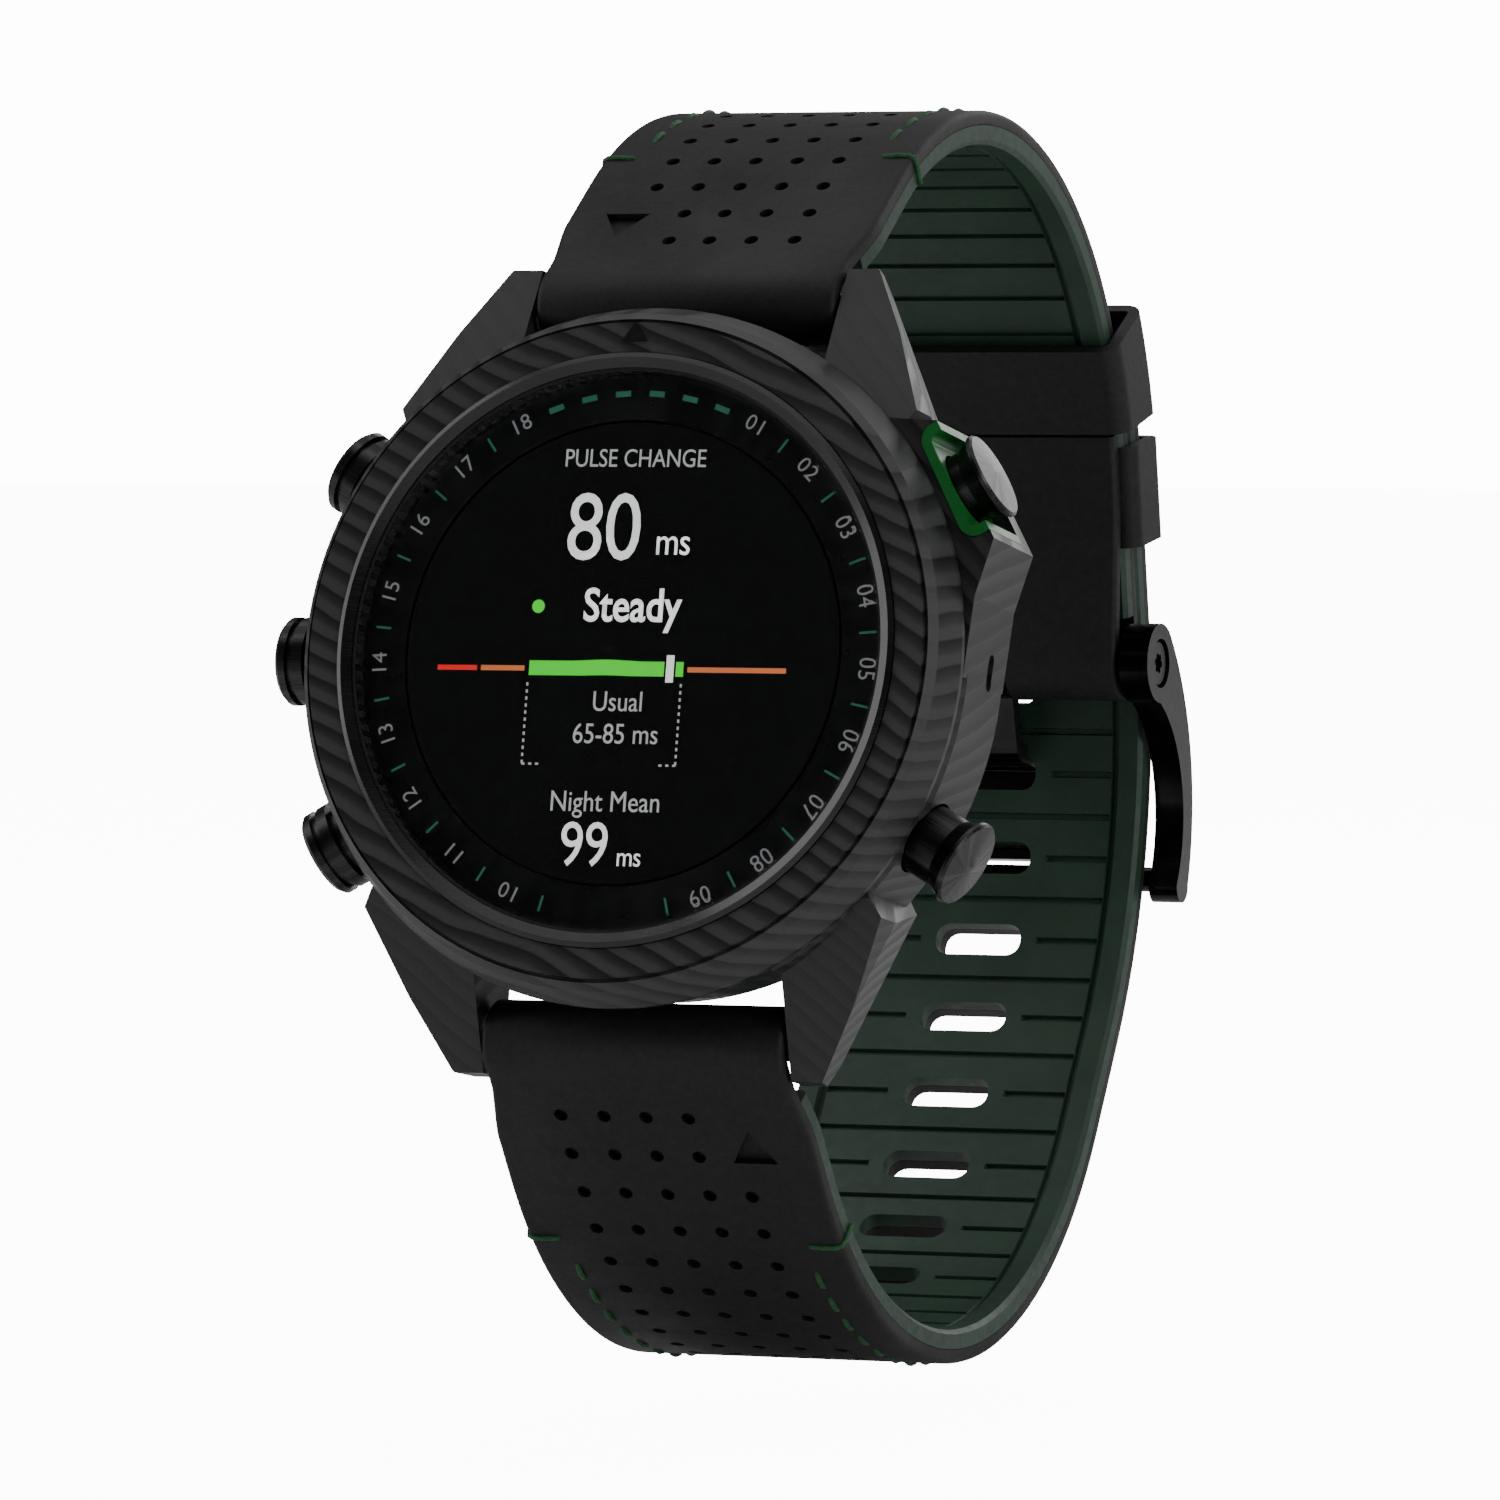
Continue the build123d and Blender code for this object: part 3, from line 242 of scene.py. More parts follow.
# %% [markdown]
# The sky has two jobs, so it has two strengths. The camera sees a bright even backdrop, and everything else
# sees a dim one, so that the black glass has little to mirror and the leather stays black.

# %% Sky
backdrop_strength = 14.0
ambient_strength = 0.12
world = bpy.data.worlds.new("studio")
bpy.context.scene.world = world
world.use_nodes = True
sky = world.node_tree
sky.nodes.clear()
seen = add_node(sky, "Background", {"Color": (1, 1, 1, 1), "Strength": backdrop_strength}).outputs[0]
lit = add_node(sky, "Background", {"Color": (0.80, 0.82, 0.85, 1), "Strength": ambient_strength}).outputs[0]
to_camera = add_node(sky, "LightPath").outputs["Is Camera Ray"]
either = add_node(sky, "MixShader", {0: to_camera, 1: lit, 2: seen}).outputs[0]
add_node(sky, "OutputWorld", {"Surface": either})
print("sky", backdrop_strength, "to the camera,", ambient_strength, "to the watch")

# %% [markdown]
# Four soft lights shape the dark pieces: a broad one overhead for the leather's sheen, a tall one at each side
# for the edges of the case, and one behind that parts the strap from the backdrop.

# %% Soft lights


def softbox(name, offset, width, height, power):
    """Area light at an offset in metres from the dial, aimed at it."""
    light = in_scene(name, bpy.data.lights.new(name, "AREA"))
    light.data.shape = "RECTANGLE"
    light.data.size = width
    light.data.size_y = height
    light.data.energy = power
    light.location = dial_middle + Vector(offset)
    light.rotation_euler = (-Vector(offset)).to_track_quat("-Z", "Y").to_euler()
    print("light", name, power, "W")


softbox("overhead", (0.0, 0.05, 0.9), 1.4, 1.2, 4.8)
softbox("left_tall", (-0.75, -0.15, 0.25), 0.35, 0.9, 2.6)
softbox("right_tall", (0.85, -0.25, 0.2), 0.35, 0.9, 3.0)
softbox("behind", (0.2, 0.8, 0.35), 0.9, 0.5, 3.0)

# %% [markdown]
# Forged carbon is a stack of thin carbon sheets pressed and then cut across, so each face shows wavy bands
# where the cut passes through layers of different sheen. An image would smear round the case. Bands worked
# out from the solid coordinates cut through it the way the real layers do, so they meet at every edge.

# %% Forged carbon


def forged_carbon(name, tilt, pitch, contrast):
    """Wavy layered bands, tilted in degrees across the dial, with a pitch in millimetres."""
    material, tree, shader = new_finish(name, (0.02, 0.02, 0.021), 0.42)
    here = dial_coordinates(tree)
    split = add_node(tree, "SeparateXYZ", {0: here})
    across = sums(tree, "MULTIPLY", split.outputs[0], sin(radians(tilt)) / pitch)
    along = sums(tree, "MULTIPLY", split.outputs[1], cos(radians(tilt)) / pitch)
    depth = sums(tree, "MULTIPLY", split.outputs[2], 0.35 / pitch)
    layer = sums(tree, "ADD", sums(tree, "ADD", across, along), depth)
    wander = sums(tree, "MULTIPLY", noise(tree, here, 0.06, 1.0), 2.2)
    ripple = sums(tree, "MULTIPLY", noise(tree, here, 0.3, 1.0), 0.22)
    band = sums(tree, "FRACT", sums(tree, "ADD", sums(tree, "ADD", layer, wander), ripple), 0.0)
    soft_edge = ramp(tree, band, [(0.0, 0.0), (0.1, 0.9), (0.34, 1.0), (0.62, 0.35), (1.0, 0.0)])
    fibre_space = add_node(
        tree, "VectorMath", {0: here, 1: (0.6, 7.0, 0.6)}, operation="MULTIPLY"
    ).outputs[0]
    fibre = noise(tree, fibre_space, 1.6, 3.0)
    patch = noise(tree, here, 0.11, 2.0)
    shade = sums(tree, "MULTIPLY", soft_edge, sums(tree, "MULTIPLY_ADD", patch, 0.9))
    shade = sums(tree, "MULTIPLY", shade, sums(tree, "ADD", fibre, 0.5))
    colour = ramp(tree, shade, [(0.0, (0.0075, 0.0075, 0.008)), (0.75, (contrast, contrast, contrast * 1.03))])
    tree.links.new(colour, shader.inputs["Base Color"])
    gloss = ramp(tree, shade, [(0.0, 0.36), (0.8, 0.52)])
    tree.links.new(gloss, shader.inputs["Roughness"])
    relief = sums(tree, "ADD", sums(tree, "MULTIPLY", soft_edge, 0.7), sums(tree, "MULTIPLY", fibre, 0.3))
    bump(tree, shader, relief, 0.2, 0.00008)
    return material


bezel_carbon = forged_carbon("bezel_carbon", 24.0, 1.5, 0.042)
case_carbon = forged_carbon("case_carbon", 42.0, 1.3, 0.026)
dress("bezel", bezel_carbon)
dress("case_body", case_carbon)
print("carbon finishes", bezel_carbon.name, case_carbon.name)

# %% [markdown]
# The buttons, the ring round the glass and the back plate are steel with a dark hard coating. Coated steel
# still shows the tool marks under it: turned parts have rings or rays, flat parts have long scratches. The
# rays on a button's face come from the angle round that button's own axis, read from its box.

# %% Coated steel


def coated_steel(name, grey, roughness, scratch_axis=(0.25, 9.0, 0.25)):
    """Dark brushed metal, its scratches drawn out along the axes with the small numbers."""
    material, tree, shader = new_finish(name, (grey, grey, grey * 1.03), roughness, 1.0)
    here = dial_coordinates(tree)
    drawn = add_node(tree, "VectorMath", {0: here, 1: scratch_axis}, operation="MULTIPLY").outputs[0]
    scratch = noise(tree, drawn, 2.2, 4.0)
    smear = noise(tree, here, 0.25, 2.0)
    worn = sums(tree, "ADD", sums(tree, "MULTIPLY", scratch, 0.6), sums(tree, "MULTIPLY", smear, 0.4))
    low, high = max(roughness - 0.09, 0.05), roughness + 0.12
    tree.links.new(ramp(tree, worn, [(0.3, low), (0.7, high)]), shader.inputs["Roughness"])
    tint = ramp(tree, worn, [(0.25, grey * 0.75), (0.75, grey * 1.3)])
    tree.links.new(tint, shader.inputs["Base Color"])
    bump(tree, shader, scratch, 0.12, 0.00004)
    return material


def turned_button(name, node, grey):
    """Coated metal with rays round the axis of one button."""
    material, tree, shader = new_finish(name, (grey, grey, grey * 1.03), 0.3, 1.0)
    low, high = (Vector(corner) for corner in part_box(node))
    press = Vector(joints[node.replace("_button", "_press")]["axis"]).normalized()
    middle = (low + high) / 2
    beside = press.cross(outward).normalized()
    local = add_node(tree, "TexCoord").outputs["Object"]
    from_axis = add_node(tree, "VectorMath", {0: local, 1: middle}, operation="SUBTRACT").outputs[0]
    wide = add_node(tree, "VectorMath", {0: from_axis, 1: beside}, operation="DOT_PRODUCT").outputs["Value"]
    tall = add_node(tree, "VectorMath", {0: from_axis, 1: outward}, operation="DOT_PRODUCT").outputs["Value"]
    angle = sums(tree, "ARCTAN2", wide, tall)
    turned_x, turned_y = (sums(tree, operation, angle, 0.0) for operation in ("SINE", "COSINE"))
    rays_at = add_node(tree, "CombineXYZ", {0: turned_x, 1: turned_y})
    rays = noise(tree, rays_at.outputs[0], 16.0, 5.0, 0.7)
    broad = noise(tree, rays_at.outputs[0], 2.6, 1.0)
    worn = sums(tree, "ADD", sums(tree, "MULTIPLY", rays, 0.45), sums(tree, "MULTIPLY", broad, 0.55))
    tint = ramp(tree, worn, [(0.32, grey * 0.45), (0.5, grey), (0.66, grey * 2.1)])
    tree.links.new(tint, shader.inputs["Base Color"])
    tree.links.new(ramp(tree, rays, [(0.3, 0.2), (0.7, 0.42)]), shader.inputs["Roughness"])
    bump(tree, shader, rays, 0.25, 0.00005)
    return material


for name in ("start", "back", "light", "up", "down"):
    dress(f"{name}_button", turned_button(f"{name}_rays", f"{name}_button", 0.035))
dress("crystal_rim", coated_steel("rim_steel", 0.05, 0.22))
dress("case_back", coated_steel("back_steel", 0.10, 0.34))
dress("pressure_vent", coated_steel("vent_steel", 0.04, 0.4))
print("coated steel on the buttons, the rim, the back plate and the vent")

# %% [markdown]
# The buckle is steel too, but polished and coated black, with a satin outer face on its arms. The satin face
# is picked out by the way the surface faces, since only the arms' sides look along the watch's x axis.

# %% Buckle finish


def buckle_finish(name):
    """Polished black metal that turns satin grey where it faces sideways."""
    material, tree, shader = new_finish(name, (0.02, 0.02, 0.021), 0.14, 1.0)
    here = dial_coordinates(tree)
    facing = add_node(tree, "SeparateXYZ", {0: add_node(tree, "TexCoord").outputs["Normal"]}).outputs[0]
    sideways = ramp(tree, sums(tree, "ABSOLUTE", facing, 0.0), [(0.86, 0.0), (0.95, 1.0)])
    drawn = add_node(tree, "VectorMath", {0: here, 1: (6.0, 0.4, 6.0)}, operation="MULTIPLY").outputs[0]
    scratch = noise(tree, drawn, 2.5, 4.0)
    satin = ramp(tree, scratch, [(0.3, 0.08), (0.7, 0.15)])
    polished = ramp(tree, noise(tree, here, 0.6), [(0.3, 0.028), (0.7, 0.04)])
    colour = add_node(tree, "Mix", {0: sideways, 6: polished, 7: satin}, data_type="RGBA").outputs[2]
    tree.links.new(colour, shader.inputs["Base Color"])
    smooth = ramp(tree, scratch, [(0.3, 0.1), (0.7, 0.17)])
    rough = add_node(tree, "Mix", {0: sideways, 6: smooth, 7: (0.38, 0.38, 0.38, 1)}, data_type="RGBA")
    tree.links.new(rough.outputs[2], shader.inputs["Roughness"])
    bump(tree, shader, scratch, 0.08, 0.00003)
    return material


black_buckle = buckle_finish("black_buckle")
for name in ("buckle_frame", "buckle_tang", "buckle_bolt", "buckle_screws"):
    dress(name, black_buckle)
print("buckle finish", black_buckle.name)

# %% [markdown]
# The glass is a low dome over a black display, and it mirrors very little, as coated glass does. It is a real
# transparent solid here. Its refraction is set lower than plain glass to get that faint mirroring, and slow
# changes of roughness stand for the film that a fingertip leaves.

# %% Glass
coated_ior = 1.12
glass, glass_tree, glass_shader = new_finish(
    "dome_glass", (0.96, 0.97, 0.98), 0.0, transmission_weight=1.0, ior=coated_ior
)
smudge = noise(glass_tree, dial_coordinates(glass_tree), 0.12, 2.0)
glass_tree.links.new(ramp(glass_tree, smudge, [(0.3, 0.0), (0.8, 0.004)]), glass_shader.inputs["Roughness"])
dress("crystal", glass)
print("glass", glass.name, "refraction", coated_ior)

# %% [markdown]
# The dial ring, the display, the green guard and the sensor's window are moulded or sprayed. A mould leaves
# a fine grain, and its colour is never quite even. One recipe serves them all. The grain is shallower on the
# dial ring and the display, because they are seen through the glass and have to look black.

# %% Moulded pieces


def plain_moulding(name, colour, roughness, grain=2.4, relief=0.00004):
    """Moulded plastic or rubber: one colour that drifts a little, under a fine spark-eroded grain."""
    material, tree, shader = new_finish(name, colour, roughness)
    here = dial_coordinates(tree)
    drift = noise(tree, here, 0.18, 2.0)
    darker = tuple(part * 0.82 for part in colour)
    lighter = tuple(min(part * 1.18, 1.0) for part in colour)
    tree.links.new(ramp(tree, drift, [(0.3, darker), (0.7, lighter)]), shader.inputs["Base Color"])
    tree.links.new(
        ramp(tree, noise(tree, here, grain * 0.4), [(0.3, roughness - 0.05), (0.7, roughness + 0.07)]),
        shader.inputs["Roughness"],
    )
    bump(tree, shader, noise(tree, here, grain, 4.0), 0.2, relief)
    return material


dial_black = plain_moulding("dial_black", (0.004, 0.004, 0.0045), 0.32, 2.4, 0.00001)
dress("dial_ring", dial_black)
dress("display_panel", plain_moulding("display_black", (0.0015, 0.0015, 0.0016), 0.16, 2.4, 0.000002))
dress("button_guard", plain_moulding("guard_green", (0.008, 0.16, 0.022), 0.34))
dress("sensor_window", plain_moulding("sensor_black", (0.008, 0.008, 0.012), 0.1, 0.6))
print("moulded dial, display, guard and window")

# %% [markdown]
# Most of the frame's other pieces are hidden inside. They still get a finish, because the watch can be taken
# apart. A short table gives the colour and the roughness of each kind, and metals get brushing.

# %% Hidden pieces
hidden_kinds = {
    "gasket_black": ((0.02, 0.02, 0.02), 0.7, ["crystal_gasket", "case_back_gasket"]),
    "board_green": ((0.01, 0.075, 0.035), 0.35, ["main_board", "sensor_board"]),
    "chip_black": ((0.015, 0.015, 0.017), 0.5, ["board_chips", "button_switches"]),
    "carrier_grey": ((0.05, 0.05, 0.055), 0.55, ["inner_frame", "antenna_ring"]),
    "cell_wrap": ((0.25, 0.26, 0.28), 0.4, ["battery"]),
}
for kind, (colour, roughness, nodes) in hidden_kinds.items():
    finish = plain_moulding(kind, colour, roughness)
    for name in nodes:
        dress(name, finish)
seal_rubber = plain_moulding("seal_rubber", (0.02, 0.02, 0.02), 0.65)
bare_steel = coated_steel("bare_steel", 0.42, 0.3)
for name in ("start", "back", "light", "up", "down"):
    dress(f"{name}_button_seal", seal_rubber)
    dress(f"{name}_button_clip", bare_steel)
bare_parts = ["vibration_motor", "lug_bars", "button_springs", "case_back_screws", "button_bushes"]
for name in bare_parts + [f"{side}_strap_{part}" for side in ("upper", "lower") for part in ("hook", "latch")]:
    dress(name, bare_steel)
dress("charge_contacts", coated_steel("gold_pad", 0.6, 0.25))
print("hidden kinds", len(hidden_kinds))

# %% [markdown]
# Printing on a dial is a thin film of ink. It could be a picture laid on the ring, but a picture blurs close
# up. Blender's text objects give clean figures instead. Each is made flat, turned to its place on the dial,
# and joined with the others into one thin piece that glows a little, so it can be read under the glass. On the
# dial ring that glow is painted light: it stands in for the lamps' light that the glass holds back.

# %% Printing bench


def glowing_ink(name, colour, glow):
    """Flat ink with a little light of its own. On the display this is its own light; on printing it is painted light,
    since print gives none.
    """
    material, tree, shader = new_finish(name, colour, 0.5)
    speck = noise(tree, dial_coordinates(tree), 6.0, 2.0)
    dim = tuple(part * 0.9 for part in colour)
    tree.links.new(ramp(tree, speck, [(0.3, dim), (0.7, colour)]), shader.inputs["Base Color"])
    shader.inputs["Emission Color"].default_value = (*colour, 1)
    shader.inputs["Emission Strength"].default_value = glow
    return material


def flat_piece(name, outlines, material, body="case", depth=0.03):
    """Thin piece from flat outlines: each is a list of (x, up) corners and a height out of the dial."""
    build = bmesh.new()
    for corners, height in outlines:
        build.faces.new([build.verts.new(place(x, up, height)) for x, up in corners])
    piece = drawn_piece(name, build)
    piece.data.materials.append(material)
    thicken = piece.modifiers.new("ink", "SOLIDIFY")
    thicken.thickness = depth * MM
    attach(piece, body)
    return piece


def written(words, size, spacing=1.0, stretch=1.0, bold=0.0):
    """Mesh of some figures, flat, centred on the origin, in millimetres."""
    line = bpy.data.curves.new("line", "FONT")
    line.body = words
    line.size = size
    line.align_x = "CENTER"
    line.align_y = "CENTER"
    line.space_character = spacing
    line.offset = bold
    line.resolution_u = 4
    holder = in_scene("line", line)
    bpy.context.view_layer.update()
    mesh = bpy.data.meshes.new_from_object(holder.evaluated_get(bpy.context.evaluated_depsgraph_get()))
    bpy.data.objects.remove(holder)
    mesh.transform(Matrix.Diagonal((stretch, 1, 1, 1)))
    return mesh


def print_words(name, lines, material, height, body="case"):
    """Join figures into one printed piece: each line is a mesh, an x, an up and a turn in degrees."""
    build = bmesh.new()
    for mesh, x, up, turned in lines:
        spot = Matrix.Translation((x, up, height)) @ Matrix.Rotation(radians(-turned), 4, "Z")
        mesh.transform(dial_space @ spot)
        build.from_mesh(mesh)
        bpy.data.meshes.remove(mesh)
    piece = drawn_piece(name, build)
    piece.data.materials.append(material)
    thicken = piece.modifiers.new("ink", "SOLIDIFY")
    thicken.thickness = 0.02 * MM
    thicken.offset = 1
    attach(piece, body)
    return piece


def on_ring(radius, clock_angle):
    """Point on the dial at a clock angle from 12, clockwise."""
    return radius * sin(radians(clock_angle)), radius * cos(radians(clock_angle))


# %% [markdown]
# The dial ring carries the hole numbers, 1 to 18, with a tick between each pair. The numbers start just right
# of 12 and run round to just left of it, so the two halves mirror each other and one loop makes both. Short
# dashes fill the gap at 12.

# %% Hole numbers and ticks
dial_level = -1.6
print_lift = 0.002
number_radius = 17.72
first_angle = 28.96
hole_step = 16.01
print_height = dial_level + print_lift
number_size, number_spacing = 1.55, 1.08
holes_a_side = 9
# The numbers and ticks glow a little. This is painted light, since printing gives no light of its own; it lets them
# show through the glass.
number_ink_painted_glow = glowing_ink("number_ink_painted_glow", (0.26, 0.26, 0.27), 0.35)
tick_ink_painted_glow = glowing_ink("tick_ink_painted_glow", (0.02, 0.12, 0.065), 0.5)
hole_lines = []
tick_shapes = []


def tick(clock_angle, inner=17.15, outer=18.25, width=0.16):
    """Corners of one radial tick."""
    shape = []
    turned = radians(clock_angle)
    for radius, side in ((inner, -1), (outer, -1), (outer, 1), (inner, 1)):
        x, up = on_ring(radius, clock_angle)
        half = side * width / 2
        shape.append((x + half * cos(turned), up - half * sin(turned)))
    return shape, print_height


for hole in range(1, holes_a_side + 1):
    clock_angle = first_angle + (hole - 1) * hole_step
    right_x, up = on_ring(number_radius, clock_angle)
    right_words = written(f"{hole:02d}", number_size, number_spacing)
    left_words = written(f"{2 * holes_a_side + 1 - hole:02d}", number_size, number_spacing)
    hole_lines += [(right_words, right_x, up, clock_angle), (left_words, -right_x, up, -clock_angle)]
    tick_shapes += [tick(clock_angle + hole_step / 2), tick(-clock_angle - hole_step / 2)]
print_words("hole_numbers", hole_lines, number_ink_painted_glow, print_height)
top_dashes = [tick(angle, 17.5, 17.9, 1.1) for angle in range(-20, 21, 8)]
ticks = flat_piece("hole_ticks", tick_shapes + top_dashes, tick_ink_painted_glow)
print("hole numbers", len(hole_lines), "ticks", len(tick_shapes))

# %% [markdown]
# The display shows a resting screen: two big figures, short plain words, and a coloured bar that places the
# reading in its range. On the real watch these are lit from behind, so the pieces glow a little. They lie
# between the black panel and the glass, each colour as one thin piece.

# %% Display
screen_sink = 0.02
screen_height = dial_level - screen_sink
white_light = glowing_ink("white_light", (0.82, 0.82, 0.82), 0.85)
grey_light = glowing_ink("grey_light", (0.42, 0.42, 0.42), 0.6)
green_light = glowing_ink("green_light", (0.03, 0.62, 0.015), 1.0)
red_light = glowing_ink("red_light", (0.62, 0.012, 0.012), 0.9)
amber_light = glowing_ink("amber_light", (0.62, 0.16, 0.05), 0.7)

big_words = [
    (written("80", 6.6, 0.98, 0.86), -1.9, 8.3, 0),
    (written("99", 4.3, 0.98, 0.86), -1.7, -13.2, 0),
    (written("Steady", 3.2, 1.0, 0.84, 0.05), 0.55, 3.1, 0),
    (written("ms", 2.7, 0.96, 0.86), 3.2, 7.5, 0),
    (written("ms", 1.9, 0.96, 0.86), 1.6, -13.9, 0),
]
small_words = [
    (written("PULSE CHANGE", 1.75, 1.0, 0.84), 0.0, 13.2, 0),
    (written("Usual", 1.95, 1.0, 0.86), 0.0, -3.4, 0),
    (written("65-85 ms", 1.95, 1.0, 0.86), 0.0, -5.6, 0),
    (written("Night Mean", 2.0, 1.0, 0.86), -0.4, -10.2, 0),
]
print_words("display_figures", big_words, white_light, screen_height)
print_words("display_words", small_words, grey_light, screen_height)


def bar(left, right, low, high):
    """Corners of one upright rectangle on the display, and its height."""
    return [(left, low), (right, low), (right, high), (left, high)], screen_height


dot_x, dot_up, dot_radius, dot_sides = -6.3, 3.1, 0.46, 20
dot_turns = [2 * pi * k / dot_sides for k in range(dot_sides)]
dot = [(dot_x + dot_radius * cos(turn), dot_up + dot_radius * sin(turn)) for turn in dot_turns], screen_height
display_marks = {
    "display_green": ([bar(-6.65, 3.2, -1.6, -0.6), bar(4.05, 4.6, -1.6, -0.6), dot], green_light),
    "display_red": ([bar(-13.4, -10.5, -1.3, -0.95)], red_light),
    "display_amber": ([bar(-10.2, -7.0, -1.3, -0.95), bar(4.9, 12.0, -1.3, -0.95)], amber_light),
    "display_pointer": ([bar(3.35, 3.9, -2.0, -0.15)], white_light),
}
bracket_middle, bracket_half, bracket_foot = -1.1, 5.6, -7.6
dash_half, dash_length, dash_pitch = 0.07, 0.22, 0.48
bracket = []
for side in (-1, 1):
    upright_x = bracket_middle + side * bracket_half
    for step in range(12):
        low = bracket_foot + step * dash_pitch
        bracket.append(bar(upright_x - dash_half, upright_x + dash_half, low, low + dash_length))
    for step in range(3):
        near = bracket_middle + side * (bracket_half - 0.1 - step * 0.5)
        bracket.append(bar(near - dash_length / 2, near + dash_length / 2, bracket_foot - 0.1, bracket_foot + 0.04))
display_marks["display_bracket"] = (bracket, grey_light)
for name, (shapes, light) in display_marks.items():
    flat_piece(name, shapes, light, depth=0.02)
print("display marks", len(display_marks))

# %% [markdown]
# A small triangle at 12 on the bezel is cut into the carbon and filled with black. It is a thin piece that
# lies in the surface, like the real paint fill.

# %% Bezel triangle
triangle_half, triangle_foot, triangle_tip, bezel_level = 0.95, 20.95, 22.35, 0.34
triangle_ink = plain_moulding("triangle_black", (0.004, 0.004, 0.004), 0.3)
triangle_corners = [(-triangle_half, triangle_foot), (triangle_half, triangle_foot), (0.0, triangle_tip)]
triangle = flat_piece("bezel_triangle", [(triangle_corners, bezel_level)], triangle_ink)
print("triangle at", triangle_foot, "to", triangle_tip, "mm from the dial's middle")

# %% [markdown]
# Each strap is leather stitched to a rubber lining. In side view a strap is a belt round a few circles: the
# bar, the top or bottom of the wrist, and the buckle's bolt. The same circles as in the frame's own strap are
# written here, so the finer strap drawn from them takes the same place. Angles are found from the circles, and
# all lengths here are millimetres back from the dial and up from its middle.

# %% Strap route
bar_back, bar_up = 10.5, 25.4
upper_bar, lower_bar, wrap = (bar_back, bar_up), (bar_back, -bar_up), 1.85
bolt, bolt_wrap = (67.5, 10.2), 1.8
crown, crown_radius = (37.5, 14.6), 28.6
foot, foot_radius = (38.3, -11.5), 31.3
heel, heel_radius = (33.4, -1.0), 40.0
leather_depth, lining_depth = 1.0, 1.4
half_width, lug_half_width = 11.6, 11.0
lining_start = 3.2
tail_on_bolt = bolt_wrap + leather_depth + 0.15 + lining_depth
tail_on_crown = crown_radius + leather_depth + 0.1 + lining_depth
fold_radius = crown_radius - lining_depth


def around(centre, radius, angle):
    """Point at a radius and an angle in degrees round a centre, in side view."""
    return centre[0] + radius * cos(radians(angle)), centre[1] + radius * sin(radians(angle))


def run_angle(first, second):
    """Angle of the outward normal on the straight run between two rounds."""
    across, along = second[0][0] - first[0][0], second[0][1] - first[0][1]
    return degrees(atan2(along, across)) - degrees(acos((first[1] - second[1]) / hypot(across, along)))


fold_run = run_angle((crown, -fold_radius), (bolt, bolt_wrap))
bolt_run = run_angle((bolt, bolt_wrap), (crown, crown_radius))
upper_run = run_angle((crown, crown_radius), (upper_bar, wrap))
lower_run = run_angle((lower_bar, wrap), (foot, foot_radius)) + 360
heel_run = run_angle((foot, foot_radius), (heel, heel_radius)) + 360
tail_run = run_angle((heel, heel_radius), (bolt, tail_on_bolt)) + 360
tip_run = run_angle((bolt, tail_on_bolt), (crown, tail_on_crown)) + 360
wrap_turn, fold_tip, tail_tip = 120, 25.1, 32.5
short_leather = [
    (crown, -fold_radius, fold_tip - 180, fold_run),
    (bolt, bolt_wrap, fold_run, bolt_run),
    (crown, crown_radius, bolt_run, upper_run),
    (upper_bar, wrap, upper_run, upper_run + wrap_turn),
]
short_lining = [
    (around(bolt, lining_start, bolt_run + 90), bolt_wrap, bolt_run, bolt_run),
    (crown, crown_radius, bolt_run, upper_run),
    (around(upper_bar, -lining_start, upper_run + 90), wrap, upper_run, upper_run),
]
long_tail = [
    (foot, foot_radius, lower_run, heel_run),
    (heel, heel_radius, heel_run, tail_run),
    (bolt, tail_on_bolt, tail_run, tip_run),
    (crown, tail_on_crown, tip_run, tail_tip + 360),
]
long_leather = [(lower_bar, wrap, lower_run - wrap_turn, lower_run), *long_tail]
long_lining = [(around(lower_bar, lining_start, lower_run + 90), wrap, lower_run, lower_run), *long_tail]


def route(rounds, at_most=1.0):
    """Stations along the seam: distance, (back, up) and the outward normal, as fine as at_most millimetres."""
    stations, gone, last = [], 0.0, None
    for centre, radius, start, end in rounds:
        first = around(centre, radius, start)
        if last and hypot(first[0] - last[0], first[1] - last[1]) > 0.01:
            run = hypot(first[0] - last[0], first[1] - last[1])
            pieces = max(1, round(run / at_most))
            for k in range(1, pieces + 1):
                share = k / pieces
                spot = (last[0] + (first[0] - last[0]) * share, last[1] + (first[1] - last[1]) * share)
                stations.append((gone + run * share, spot, start))
            gone += run
        elif not last:
            stations.append((0.0, first, start))
        length = abs(radius * radians(end - start))
        pieces = max(1, round(length / min(at_most, abs(radius) * 0.2))) if length > 0.001 else 0
        for k in range(1, pieces + 1):
            angle = start + (end - start) * k / pieces
            stations.append((gone + length * k / pieces, around(centre, radius, angle), angle))
        gone += length
        last = around(centre, radius, end)
    return stations


def station_at(stations, distance):
    """Point and normal angle at any distance along a route."""
    for (s0, p0, a0), (s1, p1, a1) in zip(stations, stations[1:]):
        if distance <= s1 or (s1, p1, a1) == stations[-1]:
            share = (distance - s0) / (s1 - s0)
            spot = (p0[0] + (p1[0] - p0[0]) * share, p0[1] + (p1[1] - p0[1]) * share)
            return spot, a0 + (a1 - a0) * share


def on_strap(station, x, out):
    """Frame point at a place on a strap: x across it and out from the seam, away from the wrist."""
    (back, up), angle = station
    return place(x, up + out * sin(radians(angle)), -back - out * cos(radians(angle)))


lug_end, lug_taper = 28.2, 2.6


def width_at(up):
    """Half the strap's width: it narrows to pass between the lugs."""
    share = min(max((abs(up) - lug_end) / lug_taper, 0.0), 1.0)
    return lug_half_width + (half_width - lug_half_width) * share


